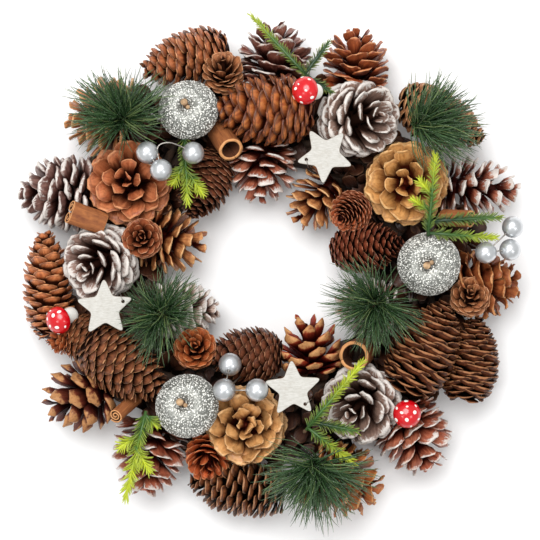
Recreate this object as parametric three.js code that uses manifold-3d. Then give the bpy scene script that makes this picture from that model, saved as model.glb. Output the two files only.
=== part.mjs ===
import * as THREE from "three";
import { ConvexGeometry } from "three/addons/geometries/ConvexGeometry.js";
import { mergeVertices } from "three/addons/utils/BufferGeometryUtils.js";
import Module from "manifold-3d";

// A pine cone wreath lying on its back. Millimetres, +Z up towards the viewer,
// +X to the right and +Y to the top of the wreath. The lowest plane is z = 0.

const wasm = await Module();
wasm.setup();

// ---- driving dimensions ----
const WREATH_DIAMETER = 360;
const GAP = 0.35; // left between a piece and the one that lies on it

// width and height are half of the ring's section, and its vines stand out by the share lobe
const RING = { radius: 104, width: 32, height: 12.5, lobe: 0.08, lobes: 6, steps: 24, flat: 9, turns: 6 };
const RING_GAP = 0.9;

const NEEDLE = {
  core: 2.5, whorls: 5, perWhorl: 10, pitch: 2.6, notch: 0.45, foot: 34,
  lowest: -12, highest: 60, // degrees from straight out, at the lowest and the highest whorl
  swing: 0.06, unevenness: 4, // how far one needle strays, in radians round and degrees up
  shorter: 0.14, // the share by which the shortest falls back
  clear: 1.2,
};
const SPRIG = { core: 1.2, reach: 4.8, perWhorl: 3, pitch: 10.5, notch: 0.4, bare: 5, lean: 42 };
const STEM = { radius: 1.5, sides: 5 };
const WIRE = { radius: 0.6, sides: 3, steps: 3, bow: 1 };
const PEARL = { sides: 8, steps: 5 };
const STAR = { tips: 5, reach: 19.2, waist: 9.6, tipRound: 1.9, thickness: 4, hole: 1.1, holeAt: 13.2 };
const TOADSTOOL = {
  cap: 9.7, dome: 8.2, rim: 1.8, hollow: 0.7, sides: 9, arcSteps: 3,
  stalk: 5, stalkLength: 18, stalkSides: 7, stalkSunk: 1,
  wart: 1.7, warts: 4, wartsDown: 0.85, wartSunk: 0.94,
};
const APPLE = { sides: 10, steps: 7, stalk: 0.1, stalkLength: 0.5, stalkAt: 0.52, stalkSides: 6 };
const STICK = { wall: 1.9, sides: 11, curl: 1.25, slack: 0.8, lap: 0.2 };

// ---- where things are seen in the photograph, in its pixels ----
const WREATH_SPAN_PX = 515;
const WREATH_CENTRE_PX = { x: 269.75, y: 270.95 };
const MM_PER_PX = WREATH_DIAMETER / WREATH_SPAN_PX;
const CAMERA_HEIGHT = 2000;
const SCALE_PLANE = 30; // height at which MM_PER_PX is true

// ---- finishes ----
const FINISHES = {
  cone_brown: { color: 0xa5643a, roughness: 0.7, metalness: 0 },
  cone_dark: { color: 0x6e3f2c, roughness: 0.65, metalness: 0 },
  cone_terracotta: { color: 0xa35a35, roughness: 0.65, metalness: 0 },
  cone_golden: { color: 0xc08d50, roughness: 0.65, metalness: 0 },
  cone_tan: { color: 0x9a6a44, roughness: 0.7, metalness: 0 },
  cone_frosted: { color: 0xa89a92, roughness: 0.75, metalness: 0 },
  vine: { color: 0x4a3526, roughness: 0.85, metalness: 0 },
  cinnamon: { color: 0xc07d3e, roughness: 0.75, metalness: 0 },
  silver_glitter: { color: 0xc4c6c6, roughness: 0.4, metalness: 0.6 },
  star_wood: { color: 0xe9e6dd, roughness: 0.85, metalness: 0 },
  toadstool_red: { color: 0xc81a20, roughness: 0.25, metalness: 0 },
  pearl_silver: { color: 0xbfc2c4, roughness: 0.3, metalness: 0.7 },
  needle_green: { color: 0x27452f, roughness: 0.45, metalness: 0 },
  sprig_green: { color: 0x86a83a, roughness: 0.5, metalness: 0 },
};

// ---- cones: how a kind of cone carries its scales ----
const LOWEST_TIP = 0.14; // how far up a cone the tips of its lowest scales stand
const SLIMMEST = 0.14; // the least share of its radius that a cone narrows to
const CONE_BASE = 0.03; // how far its base bulges below them, both as shares of its length
const ROLL_STEP = 17; // degrees that a cone rolls for each pixel across, so that no two look alike
// core and notch are shares of the radius, lean is how far a scale turns from
// straight out towards the tip, in degrees, at the base and at the tip of the cone.
// A cone is widest at widestAt of its length, and steepness is how fast it narrows.
const CONE_KINDS = {
  closed: { whorls: 6, scales: 5, core: 0.8, notch: 0.25, lean: [66, 60],
    tipWidth: 0, widestAt: 0.42, steepness: 1.62 },
  open: { whorls: 4, scales: 5, core: 0.36, notch: 0.2, lean: [8, 68],
    tipWidth: 0.52, widestAt: 0.3, steepness: 1.27 },
  rosette: { whorls: 4, scales: 6, core: 0.34, notch: 0.2, lean: [8, 66],
    tipWidth: 0.5, widestAt: 0.3, steepness: 1.27 },
  bud: { whorls: 4, scales: 5, core: 0.55, notch: 0.25, lean: [25, 66],
    tipWidth: 0, widestAt: 0.3, steepness: 1.28 },
};

// Each cone's middle in the photograph, its height there, the way its tip points
// (0 is right, 90 is up), and how far the tip lifts towards the viewer.
const CONES = [
  { node: "closed_cone_1", kind: "closed", finish: "cone_brown",
    at: [187, 58], z: 33, heading: 197, lift: 2, length: 68, radius: 19 },
  { node: "closed_cone_1", kind: "bud", finish: "cone_brown",
    at: [223, 70], z: 50, heading: 90, lift: 50, length: 28, radius: 14 },
  { node: "closed_cone_2", kind: "closed", finish: "cone_brown",
    at: [267, 110], z: 57, heading: 180, lift: 0, length: 73, radius: 24 },
  { node: "closed_cone_3", kind: "closed", finish: "cone_dark",
    at: [204, 184], z: 37, heading: 250, lift: 15, length: 53, radius: 19.5 },
  { node: "closed_cone_4", kind: "closed", finish: "cone_brown",
    at: [48, 287], z: 28.5, heading: 93, lift: 0, length: 81, radius: 17.5 },
  { node: "closed_cone_4", kind: "bud", finish: "cone_brown",
    at: [62, 341], z: 42, heading: 180, lift: 20, length: 24, radius: 9.5 },
  { node: "closed_cone_5", kind: "closed", finish: "cone_brown",
    at: [123, 366], z: 51, heading: 325, lift: 0, length: 72, radius: 21.5 },
  { node: "closed_cone_6", kind: "closed", finish: "cone_dark",
    at: [246, 355], z: 31, heading: 180, lift: 0, length: 57, radius: 19.5 },
  { node: "closed_cone_6", kind: "bud", finish: "cone_dark",
    at: [195, 348], z: 42, heading: 90, lift: 78, length: 27, radius: 14.5 },
  { node: "closed_cone_7", kind: "closed", finish: "cone_dark",
    at: [239, 487], z: 30.5, heading: 172, lift: 0, length: 72, radius: 21 },
  { node: "closed_cone_7", kind: "bud", finish: "cone_dark",
    at: [208, 460], z: 43, heading: 275, lift: 48, length: 32, radius: 15.5 },
  { node: "closed_cone_8", kind: "closed", finish: "cone_dark",
    at: [424, 351], z: 49, heading: 65, lift: 0, length: 74, radius: 24.5 },
  { node: "closed_cone_8", kind: "closed", finish: "cone_dark",
    at: [470, 362], z: 31.5, heading: 82, lift: 0, length: 64, radius: 21.5 },
  { node: "closed_cone_9", kind: "closed", finish: "cone_dark",
    at: [366, 247], z: 38, heading: 8, lift: 20, length: 55, radius: 17.5 },
  { node: "closed_cone_9", kind: "bud", finish: "cone_dark",
    at: [350, 212], z: 43, heading: 215, lift: 55, length: 32, radius: 14 },
  { node: "closed_cone_10", kind: "closed", finish: "cone_tan",
    at: [438, 117], z: 31, heading: 333, lift: 0, length: 71, radius: 20, whorls: 5 },

  { node: "rosette_cone_1", kind: "rosette", finish: "cone_terracotta",
    at: [129, 182], z: 49, heading: 120, lift: 84, length: 47, radius: 29.5 },
  { node: "rosette_cone_2", kind: "rosette", finish: "cone_golden",
    at: [406, 183], z: 50, heading: 200, lift: 84, length: 47, radius: 29.5 },
  { node: "rosette_cone_3", kind: "rosette", finish: "cone_golden",
    at: [246, 425], z: 49, heading: 90, lift: 87, length: 46, radius: 28 },
  { node: "rosette_cone_4", kind: "rosette", finish: "cone_frosted",
    at: [97, 264], z: 48, heading: 210, lift: 62, length: 47, radius: 27 },
  { node: "rosette_cone_5", kind: "rosette", finish: "cone_frosted",
    at: [363, 118], z: 52, heading: 0, lift: 58, length: 48, radius: 28 },
  { node: "rosette_cone_6", kind: "rosette", finish: "cone_frosted",
    at: [359, 406], z: 48, heading: 214, lift: 66, length: 47, radius: 28 },

  { node: "open_cone_1", kind: "open", finish: "cone_tan",
    at: [101, 118], z: 29.5, heading: 180, lift: 0, length: 50, radius: 27, scales: 4 },
  { node: "open_cone_2", kind: "open", finish: "cone_frosted",
    at: [56, 193], z: 29, heading: 180, lift: 0, length: 55, radius: 27 },
  { node: "open_cone_3", kind: "open", finish: "cone_tan",
    at: [175, 241], z: 30, heading: 352, lift: 0, length: 48, radius: 24, scales: 4 },
  { node: "open_cone_4", kind: "open", finish: "cone_tan",
    at: [262, 174], z: 30.5, heading: 270, lift: 0, length: 44, radius: 25.5, scales: 4 },
  { node: "open_cone_5", kind: "open", finish: "cone_tan",
    at: [316, 202], z: 28, heading: 225, lift: 0, length: 45, radius: 21, scales: 4 },
  { node: "open_cone_6", kind: "open", finish: "cone_frosted",
    at: [275, 53], z: 30, heading: 90, lift: 0, length: 48, radius: 26 },
  { node: "open_cone_7", kind: "open", finish: "cone_dark",
    at: [356, 60], z: 29, heading: 90, lift: 0, length: 47, radius: 24, scales: 4 },
  { node: "open_cone_8", kind: "open", finish: "cone_frosted",
    at: [481, 188], z: 29, heading: 355, lift: 0, length: 57, radius: 22 },
  { node: "open_cone_9", kind: "open", finish: "cone_brown",
    at: [489, 283], z: 30, heading: 0, lift: 0, length: 47, radius: 24 },
  { node: "open_cone_9", kind: "bud", finish: "cone_brown",
    at: [470, 296], z: 49, heading: 90, lift: 75, length: 26, radius: 13.5 },
  { node: "open_cone_10", kind: "open", finish: "cone_frosted",
    at: [415, 439], z: 29, heading: 300, lift: 0, length: 54, radius: 27, scales: 4 },
  { node: "open_cone_11", kind: "open", finish: "cone_brown",
    at: [347, 481], z: 29.5, heading: 340, lift: 0, length: 54, radius: 26 },
  { node: "open_cone_12", kind: "open", finish: "cone_dark",
    at: [77, 398], z: 28.5, heading: 205, lift: 0, length: 53, radius: 28, scales: 4 },
  { node: "open_cone_13", kind: "open", finish: "cone_frosted",
    at: [149, 458], z: 29.5, heading: 262, lift: 0, length: 58, radius: 27 },
  { node: "closed_cone_6", kind: "open", finish: "cone_dark",
    at: [309, 344], z: 29, heading: 100, lift: 0, length: 46, radius: 25, scales: 4 },
  { node: "open_cone_15", kind: "open", finish: "cone_frosted",
    at: [188, 310], z: 28, heading: 0, lift: 0, length: 47, radius: 21, scales: 4 },
  { node: "open_cone_16", kind: "open", finish: "cone_frosted",
    at: [365, 306], z: 28.5, heading: 175, lift: 0, length: 46, radius: 21, scales: 4 },
  { node: "bud_cone_1", kind: "bud", finish: "cone_dark",
    at: [142, 238], z: 58, heading: 90, lift: 86, length: 27, radius: 13.5 },
];

const APPLES = [
  { node: "glitter_apple_1", at: [188.5, 110], z: 60, heading: 117, lift: 74, radius: 20.5 },
  { node: "glitter_apple_2", at: [429, 264], z: 59, heading: 200, lift: 85, radius: 21.6 },
  { node: "glitter_apple_3", at: [187, 406], z: 59, heading: 140, lift: 74, radius: 21.8 },
];

// point is the way one tip of the star points, holeTip the tip that has the hole.
const STARS = [
  { node: "wooden_star_1", at: [325, 155], z: 65, point: 266, holeTip: 4 },
  { node: "wooden_star_2", at: [105, 308], z: 73, point: 92, holeTip: 4 },
  { node: "wooden_star_3", at: [293, 389], z: 74, point: 93, holeTip: 3 },
];

const TOADSTOOLS = [
  { node: "toadstool_1", at: [305.5, 90.5], z: 79, heading: 180, lift: 58 },
  { node: "toadstool_2", at: [59, 320], z: 50, heading: 204, lift: 50 },
  { node: "toadstool_3", at: [407, 414], z: 62, heading: 90, lift: 84 },
];

// Quills of bark: the open end that shows points along heading and lift.
const STICKS = [
  { node: "cinnamon_stick_1", at: [225, 140], z: 52, heading: 301, lift: 52, length: 27, radius: 8.8 },
  { node: "cinnamon_stick_2", at: [90, 219], z: 57, heading: 160, lift: 28, length: 33, radius: 6.8 },
  { node: "cinnamon_stick_3", at: [126, 406], z: 51, heading: 222, lift: 52, length: 30, radius: 6 },
  { node: "cinnamon_stick_4", at: [357, 354], z: 47, heading: 200, lift: 78, length: 26, radius: 10.5 },
  { node: "cinnamon_stick_5", at: [457, 219], z: 56, heading: 356, lift: 38, length: 23, radius: 7.3 },
];

const ON_TOP = 20; // added to the height of what keeps its form against everything else

// Three beads on wires: one rises from the root to the middle bead, two go on from there.
const PEARL_PICKS = [
  { node: "pearl_pick_1", root: [141, 160, 44],
    beads: [[147.2, 152.4, 77], [161, 170, 79], [193.2, 152.9, 72]], radius: 7.6 },
  { node: "pearl_pick_2", root: [470, 244, 42],
    beads: [[512.8, 227, 58], [486, 252.6, 61], [510.2, 249.7, 58]], radius: 7.5 },
  { node: "pearl_pick_3", root: [243, 374, 33],
    beads: [[230, 364.4, 60], [224.4, 390, 70], [257, 390, 76]], radius: 7.9 },
];

const TUFTS = [
  { node: "needle_tuft_1", at: [118, 108], z: 60, heading: 125, lift: 68, reach: 38, seed: 3 },
  { node: "needle_tuft_2", at: [433, 124], z: 60, heading: 40, lift: 66, reach: 41, seed: 5 },
  { node: "needle_tuft_3", at: [161, 313], z: 60, heading: 290, lift: 74, reach: 36, seed: 7 },
  { node: "needle_tuft_4", at: [375, 304], z: 60, heading: 215, lift: 72, reach: 39, seed: 11 },
  { node: "needle_tuft_5", at: [314, 475], z: 60, heading: 265, lift: 66, reach: 43, seed: 13 },
];

// Fingers of moulded spruce, each from its fork to its tip, and a bare stalk.
const SPRIGS = [
  { node: "spruce_sprig_1",
    fingers: [
      [[184, 134, 62], [188, 208, 62]], [[186, 162, 61], [170, 188, 64]], [[187, 170, 61], [205, 198, 60]],
    ],
    stalk: [[185, 152, 61], [184, 156, 40]] },
  { node: "spruce_sprig_2",
    fingers: [[[311, 80, 66], [248, 12, 60]], [[305, 74, 66], [331, 39, 62]]],
    stalk: [[309, 78, 66], [300, 92, 50]] },
  { node: "spruce_sprig_3",
    fingers: [
      [[428, 236, 72], [436, 150, 78]], [[432, 196, 75], [417, 177, 77]], [[430, 211, 73], [409, 197, 76]],
      [[430, 221, 72], [505, 217, 66]], [[428, 233, 72], [500, 238, 64]],
    ],
    stalk: [[428, 233, 72], [440, 230, 42]] },
  { node: "spruce_sprig_4",
    fingers: [
      [[146, 411, 62], [124, 503, 58]], [[137, 436, 61], [115, 450, 61]], [[135, 446, 61], [152, 476, 61]],
      [[145, 414, 62], [159, 430, 62]],
    ],
    stalk: [[146, 412, 62], [150, 426, 38]] },
  { node: "spruce_sprig_5",
    fingers: [
      [[306, 430, 73], [366, 358, 77]], [[312, 422, 73], [361, 432, 74]], [[308, 428, 73], [357, 466, 66]],
    ],
    stalk: [[305, 431, 73], [304, 432, 42]] },
];

// ---- placing ----

/** The point at height z that the photograph shows at pixel (px, py). */
function seen(px, py, z) {
  const scale = MM_PER_PX * (CAMERA_HEIGHT - z) / (CAMERA_HEIGHT - SCALE_PLANE);
  return new THREE.Vector3((px - WREATH_CENTRE_PX.x) * scale, (WREATH_CENTRE_PX.y - py) * scale, z);
}

/** Turns a piece's own +Z to heading and lift, and sets its origin down at a point. */
function placed(point, heading, lift, roll = 0) {
  return new THREE.Matrix4()
    .makeTranslation(point.x, point.y, point.z)
    .multiply(new THREE.Matrix4().makeRotationZ(THREE.MathUtils.degToRad(heading)))
    .multiply(new THREE.Matrix4().makeRotationY(THREE.MathUtils.degToRad(90 - lift)))
    .multiply(new THREE.Matrix4().makeRotationZ(THREE.MathUtils.degToRad(roll)));
}

/** Turns a piece's own +Z along the line from one point to another. */
function placedAlong(from, to) {
  const line = to.clone().sub(from);
  const heading = THREE.MathUtils.radToDeg(Math.atan2(line.y, line.x));
  const lift = THREE.MathUtils.radToDeg(Math.atan2(line.z, Math.hypot(line.x, line.y)));
  return placed(from, heading, lift);
}

/** A steady sequence of numbers from -1 to 1. */
function seeded(seed) {
  let state = seed;
  return () => {
    state = (state * 1103515245 + 12345) % 2147483648;
    return state / 1073741824 - 1;
  };
}

// ---- solids ----

function solidOf(geometry) {
  const bare = geometry.clone();
  for (const name of Object.keys(bare.attributes)) {
    if (name !== "position") bare.deleteAttribute(name);
  }
  const merged = mergeVertices(bare, 1e-4);
  return new wasm.Manifold(new wasm.Mesh({
    numProp: 3,
    vertProperties: new Float32Array(merged.attributes.position.array),
    triVerts: new Uint32Array(merged.index.array),
  }));
}

function geometryOf(solid) {
  const mesh = solid.getMesh();
  const geometry = new THREE.BufferGeometry();
  geometry.setAttribute("position", new THREE.BufferAttribute(new Float32Array(mesh.vertProperties), 3));
  geometry.setIndex(new THREE.BufferAttribute(new Uint32Array(mesh.triVerts), 1));
  return geometry;
}

function joined(geometries) {
  return geometries.map(solidOf).reduce((whole, solid) => whole.add(solid));
}

function largestBody(solid) {
  return solid.decompose().reduce((best, body) => (body.volume() > best.volume() ? body : best));
}

function pointsOf(geometry) {
  const position = geometry.attributes.position;
  return Array.from({ length: position.count }, (_, i) => new THREE.Vector3().fromBufferAttribute(position, i));
}

/** The convex room that a piece takes up along its own axes, with the gap round it. */
function roomOf(geometry) {
  const points = pointsOf(geometry);
  const box = new THREE.Box3().setFromPoints(points);
  const middle = box.getCenter(new THREE.Vector3());
  const half = box.getSize(new THREE.Vector3()).multiplyScalar(0.5);
  const growth = new THREE.Vector3(1 + GAP / half.x, 1 + GAP / half.y, 1 + GAP / half.z);
  for (const point of points) point.sub(middle).multiply(growth).add(middle);
  return new ConvexGeometry(points);
}

/** The convex room round a thin piece that slants. */
function slimRoomOf(geometry) {
  const offsets = [[1, 0, 0], [0, 1, 0], [0, 0, 1], [-1, 0, 0], [0, -1, 0], [0, 0, -1]];
  const around = offsets.map((offset) => new THREE.Vector3(...offset).multiplyScalar(GAP));
  return new ConvexGeometry(pointsOf(geometry).flatMap((point) => around.map((way) => point.clone().add(way))));
}

/** A closed skin over rings of equal count, from a base point to an end point. */
function skinOver(rings, base, end) {
  const count = rings[0].length;
  const points = [...rings.flat(), base, end];
  const reach = points.map((point) => Math.hypot(point.x, point.y));
  const faces = [];
  for (let i = 0; i < count; i++) {
    const next = (i + 1) % count;
    faces.push(points.length - 2, next, i);
    const last = (rings.length - 1) * count;
    faces.push(points.length - 1, last + i, last + next);
  }
  for (let ring = 0; ring + 1 < rings.length; ring++) {
    for (let i = 0; i < count; i++) {
      const a = ring * count + i;
      const b = ring * count + (i + 1) % count;
      const c = b + count;
      const d = a + count;
      // the fold runs through the corner that stands out furthest
      if (Math.max(reach[a], reach[c]) > Math.max(reach[b], reach[d])) {
        faces.push(a, b, c, a, c, d);
      } else {
        faces.push(a, b, d, b, c, d);
      }
    }
  }
  const geometry = new THREE.BufferGeometry().setFromPoints(points);
  geometry.setIndex(faces);
  return geometry;
}

/** One turn of points round the axis: a notch, then the tip of each scale or needle. */
function whorlRing(whorl, scales, tipHalfAngle, notch, tipOf) {
  const ring = [];
  for (let scale = 0; scale < scales; scale++) {
    const middle = (whorl + 2 * scale) * Math.PI / scales;
    const tip = tipOf(scale);
    const swing = tip.swing ?? 0;
    ring.push(onTurn(middle - Math.PI / scales, notch));
    if (tipHalfAngle > 0) {
      ring.push(onTurn(middle + swing - tipHalfAngle, tip), onTurn(middle + swing + tipHalfAngle, tip));
    } else {
      ring.push(onTurn(middle + swing, tip));
    }
  }
  // start each whorl one place on, so that it faces the whorl below
  return ring.map((_, i) => ring[(i - whorl + 1 + ring.length * (whorl + 1)) % ring.length]);
}

function onTurn(angle, { r, z }) {
  return new THREE.Vector3(r * Math.cos(angle), r * Math.sin(angle), z);
}

function onPlane(angle, r) {
  return new THREE.Vector2(r * Math.cos(angle), r * Math.sin(angle));
}

// ---- cones ----

/** The share of its full radius that a cone has at t, from its base at 0 to its tip at 1. */
function oval(t, widestAt, steepness) {
  return Math.sqrt(Math.max(SLIMMEST ** 2, 1 - (steepness * (t - widestAt)) ** 2));
}

/** A cone on its own axis, its middle at the origin and its tip towards +Z. */
function coneGeometry({ kind, length, radius, ...own }) {
  const form = { ...CONE_KINDS[kind], ...own };
  const { whorls, scales, core, notch, lean, tipWidth, widestAt, steepness } = form;
  const tipHalfAngle = tipWidth * Math.PI / scales;
  const rings = [];
  for (let whorl = 0; whorl < whorls; whorl++) {
    const t = whorl / (whorls - 1);
    const outer = radius * oval(t, widestAt, steepness);
    const inner = core * outer;
    const slope = Math.tan(THREE.MathUtils.degToRad(THREE.MathUtils.lerp(lean[0], lean[1], t)));
    const tip = { r: outer, z: length * THREE.MathUtils.lerp(LOWEST_TIP, 1, t) };
    const root = { r: inner, z: tip.z - (outer - inner) * slope };
    const notchPoint = { r: inner + notch * (outer - inner), z: root.z + notch * (outer - inner) * slope };
    rings.push(whorlRing(whorl, scales, tipHalfAngle, root, () => root));
    rings.push(whorlRing(whorl, scales, tipHalfAngle, notchPoint, () => tip));
  }
  const base = new THREE.Vector3(0, 0, rings[0][0].z - CONE_BASE * length);
  const end = new THREE.Vector3(0, 0, length);
  const geometry = skinOver(rings, base, end);
  geometry.computeBoundingBox();
  const { min, max } = geometry.boundingBox;
  geometry.translate(0, 0, -(min.z + max.z) / 2);
  geometry.scale(1, 1, length / (max.z - min.z));
  return geometry;
}

// ---- trimmings ----

function appleGeometry({ radius }) {
  const outline = new THREE.SplineCurve([
    [0, -0.66], [0.42, -0.74], [0.9, -0.36], [0.98, 0.16], [0.66, 0.62], [0.3, 0.66], [0, 0.4],
  ].map(([r, z]) => new THREE.Vector2(r * radius, z * radius)));
  const profile = outline.getPoints(APPLE.steps);
  profile[0].x = 0;
  profile[profile.length - 1].x = 0;
  const flesh = new THREE.LatheGeometry(profile, APPLE.sides).rotateX(Math.PI / 2);
  const thick = APPLE.stalk * radius;
  const stalk = new THREE.CylinderGeometry(thick, thick, APPLE.stalkLength * radius, APPLE.stalkSides);
  stalk.rotateX(Math.PI / 2).translate(0, 0, APPLE.stalkAt * radius);
  return geometryOf(joined([flesh, stalk]));
}

function starGeometry({ holeTip }) {
  const { reach, waist, tipRound, thickness, hole, holeAt } = STAR;
  const tipTurn = 2 * Math.PI / STAR.tips;
  const shoulder = reach - 0.8 * tipRound;
  const side = tipRound / reach;
  const corners = [];
  for (let tip = 0; tip < STAR.tips; tip++) {
    const angle = tip * tipTurn;
    corners.push(onPlane(angle - side, shoulder), onPlane(angle, reach), onPlane(angle + side, shoulder));
    corners.push(onPlane(angle + tipTurn / 2, waist));
  }
  const outline = new THREE.Shape(corners);
  const holeMiddle = onPlane(holeTip * tipTurn, holeAt);
  const bore = new THREE.Path().absarc(holeMiddle.x, holeMiddle.y, hole, 0, 2 * Math.PI, true);
  outline.holes.push(bore);
  const star = new THREE.ExtrudeGeometry(outline, { depth: thickness, bevelEnabled: false, curveSegments: 3 });
  return star.translate(0, 0, -thickness / 2);
}

function toadstoolGeometry() {
  const { cap, dome, rim, hollow, sides, arcSteps } = TOADSTOOL;
  const profile = [new THREE.Vector2(0, -hollow), new THREE.Vector2(0.75 * cap, -rim)];
  for (let i = 0; i < arcSteps; i++) {
    const angle = i / arcSteps * Math.PI / 2;
    profile.push(new THREE.Vector2(cap * Math.cos(angle), dome * Math.sin(angle)));
  }
  profile.push(new THREE.Vector2(0, dome));
  const capBody = new THREE.LatheGeometry(profile, sides).rotateX(Math.PI / 2);
  const { stalk, stalkLength, stalkSides, stalkSunk } = TOADSTOOL;
  const stalkBody = new THREE.CylinderGeometry(stalk, 1.15 * stalk, stalkLength, stalkSides);
  stalkBody.rotateX(Math.PI / 2).translate(0, 0, stalkSunk - stalkLength / 2);
  return geometryOf(joined([capBody, stalkBody, ...wartsOn(cap, dome)]));
}

/** One wart on top of the cap and the others round its side. */
function wartsOn(cap, dome) {
  const { wart, warts, wartsDown, wartSunk } = TOADSTOOL;
  const spots = [new THREE.OctahedronGeometry(wart).translate(0, 0, wartSunk * dome)];
  for (let i = 0; i < warts; i++) {
    const round = i / warts * 2 * Math.PI;
    const out = wartSunk * cap * Math.sin(wartsDown);
    const up = wartSunk * dome * Math.cos(wartsDown);
    spots.push(new THREE.OctahedronGeometry(wart).translate(out * Math.cos(round), out * Math.sin(round), up));
  }
  return spots;
}

/** A quill: a strip of bark rolled past itself, its open end towards +Z. */
function stickGeometry({ length, radius }) {
  const { wall, sides, curl, slack, lap } = STICK;
  const outer = [];
  const inner = [];
  for (let i = 0; i <= sides; i++) {
    const angle = i / sides * 2 * Math.PI * curl;
    const shrink = (wall + slack) * Math.max(0, angle - lap) / (2 * Math.PI);
    outer.push(onPlane(angle, radius - shrink));
    inner.push(onPlane(angle, radius - shrink - wall));
  }
  const section = new THREE.Shape([...outer, ...inner.reverse()]);
  const quill = new THREE.ExtrudeGeometry(section, { depth: length, bevelEnabled: false });
  return quill.translate(0, 0, -length / 2);
}

/** A thin rod with a few sides between two points. */
function rod(from, to, radius, sides) {
  const length = from.distanceTo(to);
  const body = new THREE.CylinderGeometry(radius, radius, length, sides);
  body.rotateX(Math.PI / 2).translate(0, 0, length / 2);
  return body.applyMatrix4(placedAlong(from, to));
}

/** A wire that bows up a little on its way to a bead. */
function wire(from, bead) {
  const middle = from.clone().lerp(bead, 0.5);
  middle.z = Math.max(from.z, bead.z) + WIRE.bow;
  const route = new THREE.CatmullRomCurve3([from, middle, bead]);
  const turn = 2 * Math.PI / WIRE.sides;
  const corners = Array.from({ length: WIRE.sides }, (_, i) => onPlane(i * turn, WIRE.radius));
  const section = new THREE.Shape(corners);
  return new THREE.ExtrudeGeometry(section, { steps: WIRE.steps, extrudePath: route, bevelEnabled: false });
}

/** A burst of needles round a slim core that runs down to a foot in the pile.
 *  freeReach says how far a needle can go from a point before it meets a neighbour. */
function tuftGeometry({ reach, seed }, freeReach) {
  const random = seeded(seed);
  const { core, whorls, perWhorl, pitch, lowest, highest, swing, unevenness, shorter, clear } = NEEDLE;
  const rings = [];
  for (let whorl = 0; whorl < whorls; whorl++) {
    const rootZ = (whorl - whorls / 2) * pitch;
    const level = THREE.MathUtils.lerp(lowest, highest, whorl / (whorls - 1));
    const root = { r: core, z: rootZ };
    const notch = { r: core, z: rootZ + NEEDLE.notch * pitch };
    rings.push(whorlRing(whorl, perWhorl, 0, root, () => root));
    rings.push(whorlRing(whorl, perWhorl, 0, notch, (needle) => {
      const stray = swing * random();
      const rise = THREE.MathUtils.degToRad(level + unevenness * random());
      const turn = (whorl + 2 * needle) * Math.PI / perWhorl + stray;
      const way = new THREE.Vector3(
        Math.cos(rise) * Math.cos(turn), Math.cos(rise) * Math.sin(turn), Math.sin(rise));
      const free = freeReach(new THREE.Vector3(0, 0, rootZ), way) - clear;
      const full = reach * (1 - shorter * (1 - random()) / 2);
      const length = Math.max(core, Math.min(full, free));
      return { r: Math.max(core, length * Math.cos(rise)), z: rootZ + length * Math.sin(rise), swing: stray };
    }));
  }
  const base = new THREE.Vector3(0, 0, -NEEDLE.foot);
  const end = new THREE.Vector3(0, 0, (whorls / 2 + 0.5) * pitch);
  return skinOver(rings, base, end);
}

/** A finger of short needles in threes, its root at the origin and its tip towards +Z. */
function fingerGeometry(length) {
  const { core, reach, perWhorl, pitch, lean } = SPRIG;
  const green = length - SPRIG.bare - reach;
  const whorls = Math.max(2, Math.round(green / pitch) + 1);
  const step = green / (whorls - 1);
  const slope = Math.tan(THREE.MathUtils.degToRad(lean));
  const rings = [];
  for (let whorl = 0; whorl < whorls; whorl++) {
    const rootZ = SPRIG.bare + whorl * step;
    const root = { r: core, z: rootZ };
    const notch = { r: core, z: rootZ + SPRIG.notch * step };
    const tip = { r: reach, z: rootZ + (reach - core) * slope };
    rings.push(whorlRing(whorl, perWhorl, 0, root, () => root));
    rings.push(whorlRing(whorl, perWhorl, 0, notch, () => tip));
  }
  const base = new THREE.Vector3(0, 0, -1);
  const end = new THREE.Vector3(0, 0, length);
  return skinOver(rings, base, end);
}

// ---- the vine ring ----

/** Vines wound round each other into a flat ring, cut level underneath where they lie. */
function ringGeometry({ radius, width, height, lobe, lobes, steps, flat, turns }) {
  const count = 2 * lobes;
  return woundRing(radius, count, steps, turns, (angle, i) => {
    const swell = i % 2 === 0 ? 1 + lobe : 1 - lobe;
    return {
      out: width * swell * Math.cos(angle),
      up: Math.max(0, height * swell * Math.sin(angle) + flat),
    };
  });
}

/** The space that the ring keeps free: a skin over its vines' crests, with the gap. */
function ringRoom({ radius, width, height, lobe, lobes, steps, flat, turns }, gap) {
  return woundRing(radius, lobes, steps, turns / 2, (angle) => ({
    out: (width * (1 + lobe) + gap) * Math.cos(angle),
    up: Math.max(-gap, (height * (1 + lobe) + gap) * Math.sin(angle) + flat),
  }));
}

/** A closed ring whose section, given by its corners, turns as it goes round. */
function woundRing(radius, count, steps, turns, corner) {
  const points = [];
  const faces = [];
  for (let step = 0; step < steps; step++) {
    const round = step / steps * 2 * Math.PI;
    const wound = round * turns / count;
    for (let i = 0; i < count; i++) {
      const { out, up } = corner(i / count * 2 * Math.PI + wound, i);
      const r = radius + out;
      points.push(new THREE.Vector3(r * Math.cos(round), r * Math.sin(round), up));
    }
  }
  for (let step = 0; step < steps; step++) {
    const last = step === steps - 1;
    const shift = last ? turns : 0;
    const nextStep = last ? 0 : step + 1;
    for (let i = 0; i < count; i++) {
      const a = step * count + i;
      const b = step * count + (i + 1) % count;
      const c = nextStep * count + (i + 1 + shift) % count;
      const d = nextStep * count + (i + shift) % count;
      faces.push(a, c, b, a, d, c);
    }
  }
  const geometry = new THREE.BufferGeometry().setFromPoints(points);
  geometry.setIndex(faces);
  return geometry;
}

// ---- the pile ----

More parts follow.
